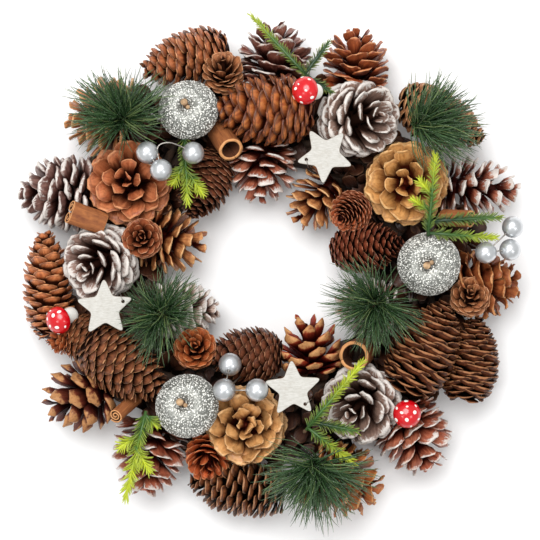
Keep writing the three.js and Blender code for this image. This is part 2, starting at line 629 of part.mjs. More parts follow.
/** One thing in the pile: its solid, the rooms it keeps free, its height and its place.
 *  A stem stands in what lies below, which keeps the room foot free for it. */
function thing(node, finish, geometry, place, z, rooms = null, stem = null, foot = null) {
  const placedSolid = (shape) => solidOf(shape.clone().applyMatrix4(place));
  return {
    node, finish, place, z,
    solid: placedSolid(geometry),
    room: (rooms ?? [roomOf(geometry)]).map(placedSolid),
    stem: stem && placedSolid(stem),
    foot: foot && placedSolid(foot),
  };
}

function coneThing(cone) {
  const place = placed(seen(...cone.at, cone.z), cone.heading, cone.lift, ROLL_STEP * cone.at[0]);
  return thing(cone.node, cone.finish, coneGeometry(cone), place, cone.z);
}

function pearlThing({ node, root, beads, radius }) {
  const rootPoint = seen(...root);
  const origin = new THREE.Matrix4().makeTranslation(rootPoint.x, rootPoint.y, rootPoint.z);
  const shift = rootPoint.clone().negate();
  const shapes = [];
  const rooms = [];
  const middle = seen(...beads[1]);
  for (const bead of beads) {
    const point = seen(...bead);
    const ball = new THREE.SphereGeometry(radius, PEARL.sides, PEARL.steps);
    const fromRoot = point.clone().add(shift);
    ball.translate(fromRoot.x, fromRoot.y, fromRoot.z);
    const lead = wire(bead === beads[1] ? rootPoint : middle, point).translate(shift.x, shift.y, shift.z);
    shapes.push(ball, lead);
    rooms.push(roomOf(ball), slimRoomOf(lead));
  }
  return thing(node, "pearl_silver", geometryOf(joined(shapes)), origin, beads[0][2] + ON_TOP, rooms);
}

function sprigThing({ node, fingers, stalk }) {
  const fork = seen(...fingers[0][0]);
  const origin = new THREE.Matrix4().makeTranslation(fork.x, fork.y, fork.z);
  const home = origin.clone().invert();
  const shapes = [];
  const rooms = [];
  for (const [from, to] of fingers) {
    const start = seen(...from);
    const end = seen(...to);
    const along = home.clone().multiply(placedAlong(start, end));
    const finger = fingerGeometry(start.distanceTo(end));
    rooms.push(roomOf(finger).applyMatrix4(along));
    shapes.push(finger.applyMatrix4(along));
  }
  const [top, bottom] = stalk.map((point) => seen(...point));
  const stem = rod(top, bottom, STEM.radius, STEM.sides).applyMatrix4(home);
  const beyond = bottom.clone().add(bottom.clone().sub(top).setLength(GAP));
  const foot = rod(top, beyond, STEM.radius + 1.3 * GAP, STEM.sides).applyMatrix4(home);
  return thing(node, "sprig_green", geometryOf(joined([...shapes, stem])), origin, 0, rooms, stem, foot);
}

/** How far one can go from a point of a placed piece before meeting a room. */
function freeReachAmong(rooms, place) {
  const turn = new THREE.Matrix4().extractRotation(place);
  const walls = rooms.map((room) => new THREE.Mesh(geometryOf(room), new THREE.MeshBasicMaterial({
    side: THREE.DoubleSide,
  })));
  return (point, way) => {
    const start = point.clone().applyMatrix4(place);
    const ray = new THREE.Raycaster(start, way.clone().applyMatrix4(turn));
    let free = Infinity;
    for (const wall of walls) {
      const hits = ray.intersectObject(wall);
      if (hits.length === 1) return 0;
      if (hits.length > 1) free = Math.min(free, hits[0].distance);
    }
    return free;
  };
}

/** A tuft's stem, which tapers from the core to a point, or the room for it. */
function tuftStem(grow) {
  const sides = 8;
  const wide = 1 / Math.cos(Math.PI / sides);
  const top = -NEEDLE.whorls / 2 * NEEDLE.pitch;
  const length = top + NEEDLE.foot + grow;
  const stem = new THREE.CylinderGeometry(wide * (NEEDLE.core + grow), wide * grow, length, sides);
  return stem.rotateX(Math.PI / 2).translate(0, 0, top - length / 2);
}

function tuftThing(tuft, rooms) {
  const place = placed(seen(...tuft.at, tuft.z), tuft.heading, tuft.lift);
  const geometry = tuftGeometry(tuft, freeReachAmong(rooms, place));
  return thing(tuft.node, "needle_green", geometry, place, 0, null, tuftStem(0.01), tuftStem(GAP));
}

const firm = [
  ...CONES.map(coneThing),
  ...APPLES.map((apple) => thing(apple.node, "silver_glitter", appleGeometry(apple),
    placed(seen(...apple.at, apple.z), apple.heading, apple.lift), apple.z)),
  ...STARS.map((star) => thing(star.node, "star_wood", starGeometry(star),
    placed(seen(...star.at, star.z), 0, 90, star.point), star.z)),
  ...TOADSTOOLS.map((toadstool) => thing(toadstool.node, "toadstool_red", toadstoolGeometry(),
    placed(seen(...toadstool.at, toadstool.z), toadstool.heading, toadstool.lift), toadstool.z + ON_TOP)),
  ...STICKS.map((stick) => thing(stick.node, "cinnamon", stickGeometry(stick),
    placed(seen(...stick.at, stick.z), stick.heading, stick.lift), stick.z)),
  ...PEARL_PICKS.map(pearlThing),
].sort((one, other) => other.z - one.z);

const sprigs = SPRIGS.map(sprigThing);
const rooms = [...firm, ...sprigs].flatMap((piece) => piece.room);
const tufts = TUFTS.map((tuft) => tuftThing(tuft, rooms));
const pile = [...firm, ...sprigs, ...tufts];
const feet = [...sprigs, ...tufts].map(({ node, foot }) => ({ node, solid: foot, room: [foot] }));
const ring = thing("vine_ring", "vine", ringGeometry(RING), new THREE.Matrix4(), 0, [ringRoom(RING, RING_GAP)]);

/** What lies higher keeps its whole form, and each lower thing stands clear of it. */
function cleared(piece, above) {
  const upper = piece.stem ? piece.solid.subtract(piece.stem) : piece.solid;
  let solid = piece.solid;
  for (const other of above) {
    if (other.node === piece.node || upper.minGap(other.solid, GAP) >= GAP) continue;
    for (const room of other.room) {
      if (!touching(solid.boundingBox(), room.boundingBox())) continue;
      solid = solid.subtract(piece.stem ? room.subtract(piece.stem) : room);
    }
  }
  return solid;
}

function touching(one, other) {
  return [0, 1, 2].every((axis) => one.min[axis] < other.max[axis] && other.min[axis] < one.max[axis]);
}

const nodes = new Map();
pile.forEach((piece, index) => {
  const solid = cleared(piece, [ring, ...feet, ...pile.slice(0, index)]);
  const known = nodes.get(piece.node);
  if (known) known.solid = known.solid.add(solid);
  else nodes.set(piece.node, { ...piece, solid });
});
nodes.set(ring.node, ring);

const wreath = new THREE.Group();
wreath.name = "wreath";
for (const { node, finish, place, solid } of nodes.values()) {
  const material = new THREE.MeshStandardMaterial({ name: finish, ...FINISHES[finish] });
  const geometry = geometryOf(largestBody(solid)).applyMatrix4(place.clone().invert());
  const mesh = new THREE.Mesh(geometry, material);
  mesh.name = node;
  mesh.applyMatrix4(place);
  wreath.add(mesh);
}

export default wreath;
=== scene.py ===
import math
import random
from collections import namedtuple

import bmesh
import bpy
from mathutils import Matrix, Vector, noise


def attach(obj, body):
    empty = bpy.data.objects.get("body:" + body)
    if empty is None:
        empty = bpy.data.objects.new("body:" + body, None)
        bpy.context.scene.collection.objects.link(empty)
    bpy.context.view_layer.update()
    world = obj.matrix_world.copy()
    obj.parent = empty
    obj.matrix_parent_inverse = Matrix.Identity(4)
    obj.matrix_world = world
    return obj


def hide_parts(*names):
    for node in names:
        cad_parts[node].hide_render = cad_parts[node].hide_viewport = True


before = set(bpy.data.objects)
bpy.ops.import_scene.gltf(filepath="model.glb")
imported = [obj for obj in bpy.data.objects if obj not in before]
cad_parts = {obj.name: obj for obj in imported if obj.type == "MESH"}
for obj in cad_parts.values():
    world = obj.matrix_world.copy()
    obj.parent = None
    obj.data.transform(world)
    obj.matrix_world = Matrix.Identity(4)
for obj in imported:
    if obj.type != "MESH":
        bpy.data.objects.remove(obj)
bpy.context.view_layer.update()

# A decorated pine cone wreath that lies on its back. Metres, +Z up towards the viewer,
# +X to the right and +Y to the top of the wreath. The lowest plane is z = 0.

# ---- where things are seen in the photograph, in its pixels ----
WREATH_DIAMETER = 0.36
WREATH_SPAN_PX = 515
WREATH_CENTRE_PX = (269.75, 270.95)
PHOTO_WIDTH_PX = 540
METRES_PER_PX = WREATH_DIAMETER / WREATH_SPAN_PX
CAMERA_HEIGHT = 2.0
SCALE_PLANE = 0.030  # height at which METRES_PER_PX is true
SENSOR_MM = 36

GOLDEN_ANGLE = math.pi * (3 - math.sqrt(5))
ANY_WAY = (-3.1, 3.1)  # nearly half a turn to either side

# ---- the cones ----
Form = namedtuple("Form", "scale scales core lean skirt lowest widest steepness closing broad stray uneven")
# How a form of cone carries its scales: the shape and the number of them, how thick its woody
# core is as a share of its radius, how far a scale turns from straight out towards the tip, in
# degrees, at the base and at the tip of the cone, and how much less the lowest scales do. The
# lowest tips and the widest place are shares of its length. steepness is how fast it narrows to
# its base and to its tip, closing is how far the last scales close over the tip, and broad is the
# width of a scale as a share of the radius. stray is in degrees, uneven in metres.
FORMS = {
    "tight": Form("shield", 160, 0.5, (50, 64), 40, 0.06, 0.42, (2.1, 1.62), 0.5, 0.64, 3, 0.0009),
    "plump": Form("lens", 104, 0.5, (42, 66), 40, 0.06, 0.4, (2.2, 1.5), 0.4, 0.92, 4, 0.0012),
    "slatted": Form("slat", 112, 0.4, (12, 50), 50, 0.05, 0.38, (2.35, 1.5), 0.5, 0.92, 4, 0.0014),
    "bladed": Form("blade", 124, 0.34, (10, 50), 10, 0.05, 0.42, (1.7, 1.6), 0.5, 0.6, 5, 0.0012),
    "frosty": Form("knob", 56, 0.26, (2, 74), 0, 0.09, 0.3, (1.27, 1.27), 0.88, 0.66, 9, 0.0036),
    "rosette": Form("petal", 50, 0.26, (4, 70), 0, 0.09, 0.3, (1.27, 1.27), 0.8, 0.64, 8, 0.0054),
    "curled": Form("petal", 56, 0.26, (4, 70), 0, 0.09, 0.3, (1.27, 1.27), 0.75, 0.74, 9, 0.0084),
    "shaggy": Form("knob", 58, 0.26, (0, 62), 0, 0.06, 0.3, (1.27, 1.27), 0.6, 0.66, 8, 0.0036),
    "plated": Form("plate", 50, 0.24, (6, 62), 0, 0.06, 0.3, (1.27, 1.27), 0.5, 0.66, 9, 0.0048),
    "lobed": Form("lobe", 42, 0.24, (4, 64), 0, 0.06, 0.3, (1.27, 1.27), 0.4, 0.74, 9, 0.0085),
    "kited": Form("kite", 34, 0.24, (4, 64), 0, 0.06, 0.3, (1.27, 1.27), 0.5, 0.58, 7, 0.0024),
    "fingered": Form("finger", 42, 0.24, (4, 62), 0, 0.06, 0.3, (1.27, 1.27), 0.4, 0.52, 9, 0.004),
    "rose": Form("rose", 58, 0.36, (18, 78), 0, 0.12, 0.3, (1.28, 1.28), 0.88, 0.7, 7, 0.0022),
}
SLIMMEST = 0.14  # the least share of its radius that a cone narrows to
CLOSES_FROM = 0.7  # where along a cone its scales start to close over the tip
SKIRT_REACH = 0.16  # how far up a cone its folded base scales go
SCALE_REACH = (0.9, 1.0)  # the least and the most of its due length that a scale has
SCALE_WIDTH = (0.86, 1.08)  # and of its due width
EVEN_WIDTH = 0.25  # how much of that is the same all along a cone, the rest follows its outline
BEND_SIZE = 0.007  # how coarse the unevenness is that bends the scales
RUFFLE_SIZE = 0.003  # and the finer one, which is this share of it:
RUFFLE_SHARE = 0.3
CORE_STEPS = 12
CORE_FILLS = 1.04  # how far the woody core reaches past the feet of the scales

Scale = namedtuple("Scale", "claw widest blunt thick edge facet facet_from swell cup bend spans")
# The shape of one scale, a unit long and a unit wide: the half width of its claw, where it is
# widest, how blunt its outline ends, its thickness near the claw and near the free end, the share
# of that left at the very edge, how much of the underside slopes away as a facet and where its
# pale colour starts, how far the underside swells, how its edges rise, how its end bends back,
# and how many spans it has across each face.
SCALES = {
    "shield": Scale(0.2, 0.66, 1.55, (0.045, 0.05), 0.4, 0, 1.0, 0.06, 0.42, -0.1, 5),
    "lens": Scale(0.2, 0.68, 1.45, (0.045, 0.045), 0.4, 0, 1.0, 0.08, 0.46, -0.08, 5),
    "blade": Scale(0.3, 0.82, 3.4, (0.05, 0.1), 0.7, 0, 1.0, 0.05, 0.3, 0.03, 5),
    "slat": Scale(0.22, 0.74, 2.7, (0.045, 0.075), 0.55, 0, 1.0, 0.06, 0.42, 0.04, 5),
    "knob": Scale(0.18, 0.74, 2.5, (0.07, 0.25), 0.55, 0.3, 0.88, 0, 0.28, -0.06, 6),
    "petal": Scale(0.16, 0.72, 2.2, (0.08, 0.16), 0.6, 0.5, 0.86, 0, 0.3, -0.1, 6),
    "plate": Scale(0.18, 0.76, 2.5, (0.06, 0.13), 0.7, 0.5, 0.84, 0, 0.26, -0.14, 5),
    "lobe": Scale(0.32, 0.84, 3.0, (0.06, 0.1), 0.75, 0.4, 0.84, 0, 0.4, -0.16, 5),
    "kite": Scale(0.3, 0.72, 1.2, (0.09, 0.3), 0.5, 1, 0.68, 0, 0.14, 0.0, 5),
    "finger": Scale(0.3, 0.86, 3.4, (0.1, 0.22), 0.75, 0.6, 0.8, 0, 0.3, -0.1, 5),
    "rose": Scale(0.24, 0.72, 2.5, (0.05, 0.07), 0.6, 0, 1.0, 0, 0.36, -0.14, 5),
}
SCALE_STEPS = (0.0, 0.3, 0.56, 0.76, 0.9, 0.97, 1.0)
# The same for every scale: where its end starts to thin out, where its swelling is and how far
# that reaches, how full its section is (1 is an oval, less is fuller), and from where to where
# its pale border grows, across it, along its edges and at its end; that border is partly its own
# pale rim and partly a painted highlight.
THINS_FROM = 0.76
SWELLING_AT = 0.8
SWELLING_REACH = 0.24
SECTION_FULLNESS = 0.7
BORDER_ACROSS = (0.75, 1)
BORDER_ALONG = (0.4, 0.7)
BORDER_AT_END = (0.9, 1)
FACET_FADE = 0.1  # how far along the scale the facet's pale colour takes to grow

Cone = namedtuple("Cone", "node form finish at z heading lift length radius")
# Each cone's middle in the photograph, its height there, its heading, which is the way its tip
# points (0 is right, 90 is up), and its lift, which is how far the tip rises towards the viewer.
CONES = [Cone(*row) for row in (
    ("closed_cone_1", "plump", "orange_brown", (187, 58), 0.033, 197, 2, 0.068, 0.019),
    ("closed_cone_1", "rose", "bud_tan", (223, 70), 0.050, 90, 50, 0.028, 0.014),
    ("closed_cone_2", "plump", "amber", (267, 110), 0.057, 180, 0, 0.073, 0.024),
    ("closed_cone_3", "tight", "umber", (204, 184), 0.037, 250, 15, 0.053, 0.0195),
    ("closed_cone_4", "plump", "pale_orange", (48, 287), 0.0285, 93, 0, 0.081, 0.0175),
    ("closed_cone_4", "rose", "bud_orange", (62, 341), 0.042, 180, 20, 0.024, 0.0095),
    ("closed_cone_5", "tight", "cinnamon_brown", (123, 366), 0.051, 325, 0, 0.072, 0.0215),
    ("closed_cone_5", "tight", "cinnamon_brown", (91, 343), 0.034, 325, 0, 0.048, 0.0170),
    ("closed_cone_6", "tight", "umber", (246, 355), 0.031, 180, 0, 0.057, 0.0195),
    ("closed_cone_6", "rose", "bud_orange", (195, 348), 0.042, 90, 78, 0.027, 0.0145),
    ("closed_cone_7", "bladed", "bark", (239, 487), 0.0305, 172, 0, 0.072, 0.021),
    ("closed_cone_7", "rose", "bud_red", (208, 460), 0.043, 275, 48, 0.032, 0.0155),
    ("closed_cone_8", "slatted", "chestnut", (424, 351), 0.049, 65, 0, 0.074, 0.0245),
    ("closed_cone_8", "slatted", "chestnut", (470, 362), 0.0315, 82, 0, 0.064, 0.0215),
    ("closed_cone_9", "tight", "russet", (366, 247), 0.038, 8, 20, 0.055, 0.0175),
    ("closed_cone_9", "tight", "bud_russet", (350, 212), 0.043, 215, 55, 0.032, 0.014),
    ("closed_cone_10", "slatted", "tan", (438, 117), 0.031, 333, 0, 0.071, 0.020),
    ("rosette_cone_1", "rosette", "terracotta", (129, 182), 0.049, 120, 84, 0.047, 0.0295),
    ("rosette_cone_2", "rosette", "golden", (406, 183), 0.050, 200, 84, 0.047, 0.0295),
    ("rosette_cone_3", "curled", "golden_brown", (246, 425), 0.049, 90, 87, 0.046, 0.028),
    ("rosette_cone_4", "frosty", "frosted_white", (97, 264), 0.048, 210, 62, 0.047, 0.027),
    ("rosette_cone_5", "frosty", "frosted_grey", (363, 118), 0.052, 0, 58, 0.048, 0.028),
    ("rosette_cone_6", "frosty", "frosted_grey", (359, 406), 0.048, 214, 66, 0.047, 0.028),
    ("open_cone_1", "fingered", "open_tan", (100, 118), 0.0295, 180, 0, 0.051, 0.0290),
    ("open_cone_2", "shaggy", "frosted_brown", (56, 193), 0.029, 180, 0, 0.055, 0.027),
    ("open_cone_3", "fingered", "open_tan", (175, 241), 0.030, 352, 0, 0.048, 0.024),
    ("open_cone_4", "fingered", "frosted_red", (262, 174), 0.0305, 270, 0, 0.044, 0.0255),
    ("open_cone_5", "fingered", "open_tan", (316, 202), 0.028, 225, 0, 0.045, 0.021),
    ("open_cone_6", "plated", "frosted_purple", (275, 53), 0.030, 90, 0, 0.048, 0.026),
    ("open_cone_7", "plated", "open_red", (356, 60), 0.029, 90, 0, 0.047, 0.024),
    ("open_cone_8", "fingered", "frosted_rust", (481, 188), 0.029, 355, 0, 0.057, 0.022),
    ("open_cone_9", "lobed", "open_rust", (489, 283), 0.030, 0, 0, 0.047, 0.024),
    ("open_cone_9", "rose", "bud_tan", (470, 296), 0.049, 90, 75, 0.026, 0.0135),
    ("open_cone_10", "plated", "frosted_red", (415, 439), 0.029, 300, 0, 0.054, 0.027),
    ("open_cone_11", "lobed", "open_orange", (347, 481), 0.0295, 340, 0, 0.054, 0.026),
    ("open_cone_12", "kited", "open_purple", (77, 398), 0.0285, 205, 0, 0.053, 0.028),
    ("open_cone_13", "plated", "frosted_red", (149, 458), 0.0295, 262, 0, 0.058, 0.027),
    ("closed_cone_6", "kited", "open_crimson", (309, 344), 0.029, 100, 0, 0.046, 0.025),
    ("open_cone_15", "shaggy", "frosted_pale", (188, 310), 0.028, 0, 0, 0.047, 0.021),
    ("open_cone_16", "fingered", "frosted_rust", (365, 306), 0.0285, 175, 0, 0.046, 0.021),
    ("bud_cone_1", "rose", "bud_dark", (142, 238), 0.058, 90, 86, 0.027, 0.0135),
)]

# ---- the trimmings: the same places and sizes as their solids ----
# Outlines turned about an axis are given as radius and height, here as shares of an apple's radius.
APPLE_OUTLINE = (
    (0, -0.66), (0.42, -0.74), (0.9, -0.36), (0.98, 0.16), (0.66, 0.62), (0.3, 0.66), (0, 0.4))
APPLE_STALK = (0.115, 0.3, 0.79)  # its radius, foot and top as shares of the apple's radius
# How far the stub and the shoot beside it lean over, how tall and how thick they are.
APPLE_TWIGS = ((0.25, 1.0, 1.0), (-0.55, 0.72, 0.6))
TWIG_STEPS = ((0, 1.15), (0.3, 0.92), (0.55, 0.86), (0.8, 0.98), (1, 1.0))  # height, girth
TWIG_SIDES = 14
GLITTER = dict(Density=820000.0, Grain=0.00060)  # grains on a square metre, and their radius
GRAIN_HEIGHT = 0.7  # in its radii
GRAIN_TILT = (-0.7, 0.7)
GRAIN_SIZE = (0.7, 1.25)
# Where in the photograph, height, heading, lift and radius.
APPLES = (
    ("glitter_apple_1", (188.5, 110), 0.060, 117, 74, 0.0205),
    ("glitter_apple_2", (429, 264), 0.059, 200, 85, 0.0216),
    ("glitter_apple_3", (187, 406), 0.059, 140, 74, 0.0218),
)
STAR = dict(reach=0.0192, waist=0.0098, thickness=0.004, bevel=0.0005, hole=0.0011, hole_at=0.0132)
STAR_TIP_SHARPENED = 1.12  # its corners stand out by this before they are rounded
STAR_ROUNDING = (0.34, 0.14)  # shares of its sides that go into the curve at a tip and at a waist
# The way of its thread: how far out of the hole's middle in radii of the hole, how high in half
# thicknesses of the star, and how much higher in metres.
STAR_THREAD = ((0, -1, -0.001), (0, 0.6, 0), (1, 1, 0.0006), (3.4, 1, 0.0003), (5, -1, 0))
THREAD_RADIUS = 0.00028
# Where in the photograph, height, the way of its first tip, and the tip that has the hole.
STARS = (
    ("wooden_star_1", (325, 155), 0.065, 266, 4),
    ("wooden_star_2", (105, 308), 0.073, 92, 4),
    ("wooden_star_3", (293, 389), 0.074, 93, 3),
)
TOADSTOOL = dict(cap=0.0097, dome=0.0082, rim=0.0018, stalk=0.005, stalk_length=0.017, gills=30)
CAP_UNDERSIDE = ((0, -0.2), (0.8, -0.9), (0.95, -0.75), (0.995, -0.25))  # shares of cap and of rim
TOADSTOOL_STALK = (  # shares of the stalk's radius and length
    (0, -1), (0.5, -0.985), (0.86, -0.93), (1.08, -0.84), (1.14, -0.7), (1.06, -0.5), (0.92, -0.2),
    (1.0, 0), (0, 0.02))
# Where a gill starts and ends in radii of the cap, its foot and its top in depths of the rim, and
# half its thickness in metres.
GILL = (0.45, 0.9, -1.25, -0.6, 0.00016)
DOT_OUTLINE = ((0, -0.6), (0.8, -0.5), (1.0, -0.1), (0.92, 0.16), (0.6, 0.36), (0, 0.42))
DOT_RADIUS = (0.0009, 0.0017)
DOT_OVAL = (0.65, 0.95)
DOT_HEIGHT = 0.0005
# Rings of dots round a cap: how many, where the first is, how far down the cap, and how far astray.
DOT_RINGS = ((4, 0.0, (0.3, 0.62), 0.35), (6, 0.7, (0.95, 1.25), 0.3))
# Where in the photograph, height, heading and lift.
TOADSTOOLS = (
    ("toadstool_1", (305.5, 90.5), 0.079, 180, 58),
    ("toadstool_2", (59, 320), 0.050, 204, 50),
    ("toadstool_3", (407, 414), 0.062, 90, 84),
)
# Where in the photograph, height, heading, lift, length, radius, how the bark is rolled and with
# how many turns, its thickness and the gap between its turns. A single roll starts at one edge of
# the bark, a double one is rolled in from both.
STICKS = (
    ("cinnamon_stick_1", (225, 140), 0.052, 301, 52, 0.027, 0.0088, "single", 1.0, 0.0021, 0.0),
    ("cinnamon_stick_2", (86.4, 217.7), 0.0585, 160, 28, 0.027, 0.0063, "double", 1.55, 0.0008, 0.0011),
    ("cinnamon_stick_3", (126, 406), 0.051, 222, 52, 0.030, 0.0060, "single", 2.35, 0.0009, 0.0011),
    ("cinnamon_stick_4", (357, 354), 0.047, 200, 78, 0.026, 0.0105, "single", 1.0, 0.0022, 0.0),
    ("cinnamon_stick_5", (457, 219), 0.056, 356, 38, 0.023, 0.0073, "single", 1.4, 0.0012, 0.0012),
)
STICK_LEVELS = (0.0, 0.02, 0.12, 0.3, 0.5, 0.7, 0.88, 0.98, 1.0)
STICK_CHIP = 0.0005  # how deep the ends are chipped
STICK_ROUGHNESS = (0.25, 0.0002)  # how far the bark swells, as a share of its thickness, and shifts
STICK_ROUGH_GRAIN = 400  # how fine its roughness and its chips are, on a metre
STICK_CHIP_GRAIN = 500
SEAM = 0.006  # the part of a turn that stays open between the edges of a closed roll
ROLL_INSET = 0.0003  # how far inside the radius the bark stays, as it is rough
# How far from the middle the two curls of a double roll are, and how big, in its radii.
CURLS_APART = 0.6
CURL_SIZE = 0.68
# Where the wires come out of the cones, the three beads, and the radius of a bead. The wires
# fork at the middle bead.
PEARL_PICKS = (
    ("pearl_pick_1", (141, 160, 0.044),
     ((147.2, 152.4, 0.077), (161, 170, 0.079), (193.2, 152.9, 0.072)), 0.0076),
    ("pearl_pick_2", (470, 244, 0.042),
     ((512.8, 227, 0.058), (486, 252.6, 0.061), (510.2, 249.7, 0.058)), 0.0075),
    ("pearl_pick_3", (243, 374, 0.033),
     ((230, 364.4, 0.060), (224.4, 390, 0.070), (257, 390, 0.076)), 0.0079),
)
WIRE_RADIUS = 0.0005
WIRE_RISE = 0.001  # how far a wire's middle is above the higher of its ends
# Outlines in radii of the bead.
BEAD_BORE = ((0.14, 0.99), (0.12, 0.95), (0, 0.93))
BEAD_COLLAR = ((0, 0.94), (0.1, 0.95), (0.13, 0.995), (0.1, 1.02), (0, 1.02))
# Points on the way of the one wire that is bent in an arc: its pick and the number of its bead.
ARCHED_WIRES = {("pearl_pick_1", 2): ((157.5, 148, 0.0785), (168, 142.6, 0.078), (181, 146.4, 0.0755))}
# Where in the photograph, height, heading, lift, reach of the needles, how far back the shoots
# start, the middle of their fan in degrees from the heading, how wide they fan to either side of
# it, and the seed.
TUFTS = (
    ("needle_tuft_1", (118, 108), 0.060, 125, 66, 0.041, 0.009, -14, 140, 3),
    ("needle_tuft_2", (431, 124), 0.060, 30, 66, 0.043, 0.009, -20, 72, 6),
    ("needle_tuft_3", (161, 313), 0.060, 290, 74, 0.036, 0.001, -160, 145, 7),
    ("needle_tuft_4", (375, 304), 0.060, 215, 72, 0.039, 0.001, 0, 150, 11),
    ("needle_tuft_5", (314, 475), 0.060, 265, 66, 0.043, 0.008, 0, 95, 13),
)
TUFT_SHOOTS = 7
# Height and radius up the stem of a tuft, and below up each of its shoots.
TUFT_STEM = ((-0.034, 0.0006), (-0.012, 0.0018), (-0.004, 0.0022), (0.004, 0.0016), (0.009, 0.0006))
TUFT_NEEDLE_THICK = 0.0115  # as a share of its length
TUFT_NEEDLE_BENDS = (0.05, 0.12)
SHOOT_OUTLINE = ((-0.003, 0.0013), (0.002, 0.0012), (0.007, 0.0005))
SHOOT_STRAY = 12  # how far it turns astray in the fan, in degrees
SHOOT_RISE = (-0.002, 0.003)  # the range of its root's height in the tuft
SHOOT_LIFT = (14, 62)
SHOOT_REACH = (0.94, 1.1)
BURST = dict(Needles=64, Shorter=0.3, Twig=0.012, Lowest=math.radians(38), Highest=math.radians(86),
             Stray=math.radians(8), Clear=0.0005)
SHORTEST_NEEDLE = 0.15  # a needle with less free room than this share of the reach is left out
NEEDLE_STEPS = ((0.0, 0.8), (0.25, 1.0), (0.6, 0.85), (0.88, 0.55), (1.0, 0.12))  # place, thickness
# Fingers of moulded spruce: the reach of the needles, then each finger from its fork to its tip
# with how young its green is, from 0, deep green nearly to the tip, to 1, yellow green all along,
# and then the bare stalk. Places are pixels of the photograph and a height.
SPRIGS = (
    ("spruce_sprig_1", 0.0062,
     (((184, 134, 0.062), (188, 208, 0.062), 0.4), ((186, 162, 0.061), (170, 188, 0.064), 0.66),
      ((187, 170, 0.061), (205, 198, 0.060), 0.7)),
     ((185, 152, 0.061), (184, 156, 0.040))),
    ("spruce_sprig_2", 0.0046,
     (((311, 80, 0.066), (248, 12, 0.060), 0.35), ((305, 74, 0.066), (331, 39, 0.062), -0.3),
      ((309, 77, 0.066), (334, 94, 0.060), -0.2)),
     ((309, 78, 0.066), (300, 92, 0.050))),
    ("spruce_sprig_3", 0.0054,
     (((428, 236, 0.072), (436, 150, 0.078), 0.45), ((432, 196, 0.075), (417, 177, 0.077), 0.9),
      ((430, 211, 0.073), (409, 197, 0.076), 0.75), ((430, 221, 0.072), (505, 217, 0.066), 0.05),
      ((428, 233, 0.072), (500, 238, 0.064), 0.45)),
     ((428, 233, 0.072), (440, 230, 0.042))),
    ("spruce_sprig_4", 0.0070,
     (((146, 411, 0.062), (124, 503, 0.058), 0.7), ((137, 436, 0.061), (115, 450, 0.061), 0.95),
      ((135, 446, 0.061), (152, 476, 0.061), 0.9), ((145, 414, 0.062), (159, 430, 0.062), 0.6)),
     ((146, 412, 0.062), (150, 426, 0.038))),
    ("spruce_sprig_5", 0.0056,
     (((306, 430, 0.073), (366, 358, 0.077), 0.6), ((312, 422, 0.073), (361, 432, 0.074), 0.05),
      ((308, 428, 0.073), (357, 466, 0.066), 0.65)),
     ((305, 431, 0.073), (304, 432, 0.042))),
)
SPRIG_NEEDLE_EVERY = 0.00050  # one needle on this much of a finger
SPRIG_NEEDLE_THICK = 0.082  # as a share of its length
SPRIG_NEEDLE_BEND = 0.05
SPRIG_NEEDLE_ROLL = (-0.6, 0.6)
SPRIG_NEEDLE_SIZE = (1.05, 1.3)  # in the finger's reach
SPRIG_LEANS_LATE = 6  # the power by which its needles lean to the tip only near its end
FINGER = dict(Bare=0.002, Base_lean=math.radians(40), Tip_lean=math.radians(78),
              Spread_out=math.radians(62), Stray=math.radians(10))
# Its twig: how far along the finger, and the radius there.
FINGER_OUTLINE = ((0, 0.0011), (0.3, 0.001), (0.6, 0.0009), (0.85, 0.0007), (0.95, 0.0003))
SPRIG_STALK_RADII = (0.0013, 0.0013, 0.001)
# Gaps between the cones outside the ring where loose scales lie too, and their height.
GAPS = (((62, 316), 0.022), ((146, 116), 0.020), ((455, 240), 0.018))
GAP_RADIUS = 0.009
RING = dict(radius=0.104, half_width=0.0315, half_height=0.0120, middle=0.0100, vine=0.0034, vines=22)
VINE_SWAY = 0.22  # the most that a vine lies further in, as a share of the ring's half width
# The sway is soft noise along a loop: the radius of the loop, how far apart the loops of two
# vines are, and how fine the noise is.
SWAY_LOOP = 2
SWAY_APART = 3.7
SWAY_GRAIN = 1.6
BED_EDGES = (-0.75, 0.98)  # where loose scales lie on the ring, in half widths from its middle
BED_DENSITY = 16000.0  # loose scales on a square metre
GAP_DENSITY = 60000.0
LOOSE = dict(Length=0.019, Width=0.010, Tilt=1.1)
LOOSE_UNEVEN = 0.002
LOOSE_ROCK = (-0.5, 0.5)
LOOSE_DIP = 0.1  # the most that it tips the other way
LOOSE_SIZE = (0.75, 1.2)

# ---- the studio ----
FLOOR_WIDTH = 6
SURROUND_STRENGTH = 0.64
LIT_POINT = (0, 0, 0.03)
# Place, width and watts. The two small ones show as spots on what shines.
SOFTBOXES = (
    ("key", (-0.22, 0.62, 1.7), 1.3, 32),
    ("left", (-0.8, -0.5, 1.4), 0.34, 2.6),
    ("right", (0.8, -0.5, 1.4), 0.34, 2.6),
)


# ---- placing ----

def seen(px, py, z):
    """The point at height z that the photograph shows at a pixel."""
    scale = METRES_PER_PX * (CAMERA_HEIGHT - z) / (CAMERA_HEIGHT - SCALE_PLANE)
    return Vector(((px - WREATH_CENTRE_PX[0]) * scale, (WREATH_CENTRE_PX[1] - py) * scale, z))


def spin(degrees, axis):
    """A turn about one of the axes."""
    return Matrix.Rotation(math.radians(degrees), 4, axis)


def placed(point, heading, lift, roll=0.0):
    """Turns a piece's own +Z to heading and lift, and sets its origin down at a point."""
    turn = spin(heading, "Z") @ spin(90 - lift, "Y")
    return Matrix.Translation(point) @ turn @ spin(roll, "Z")


def placed_along(start, end):
    """Turns a piece's own +Z towards end, and sets its origin down at start."""
    line = end - start
    heading = math.degrees(math.atan2(line.y, line.x))
    lift = math.degrees(math.atan2(line.z, math.hypot(line.x, line.y)))
    return placed(start, heading, lift)


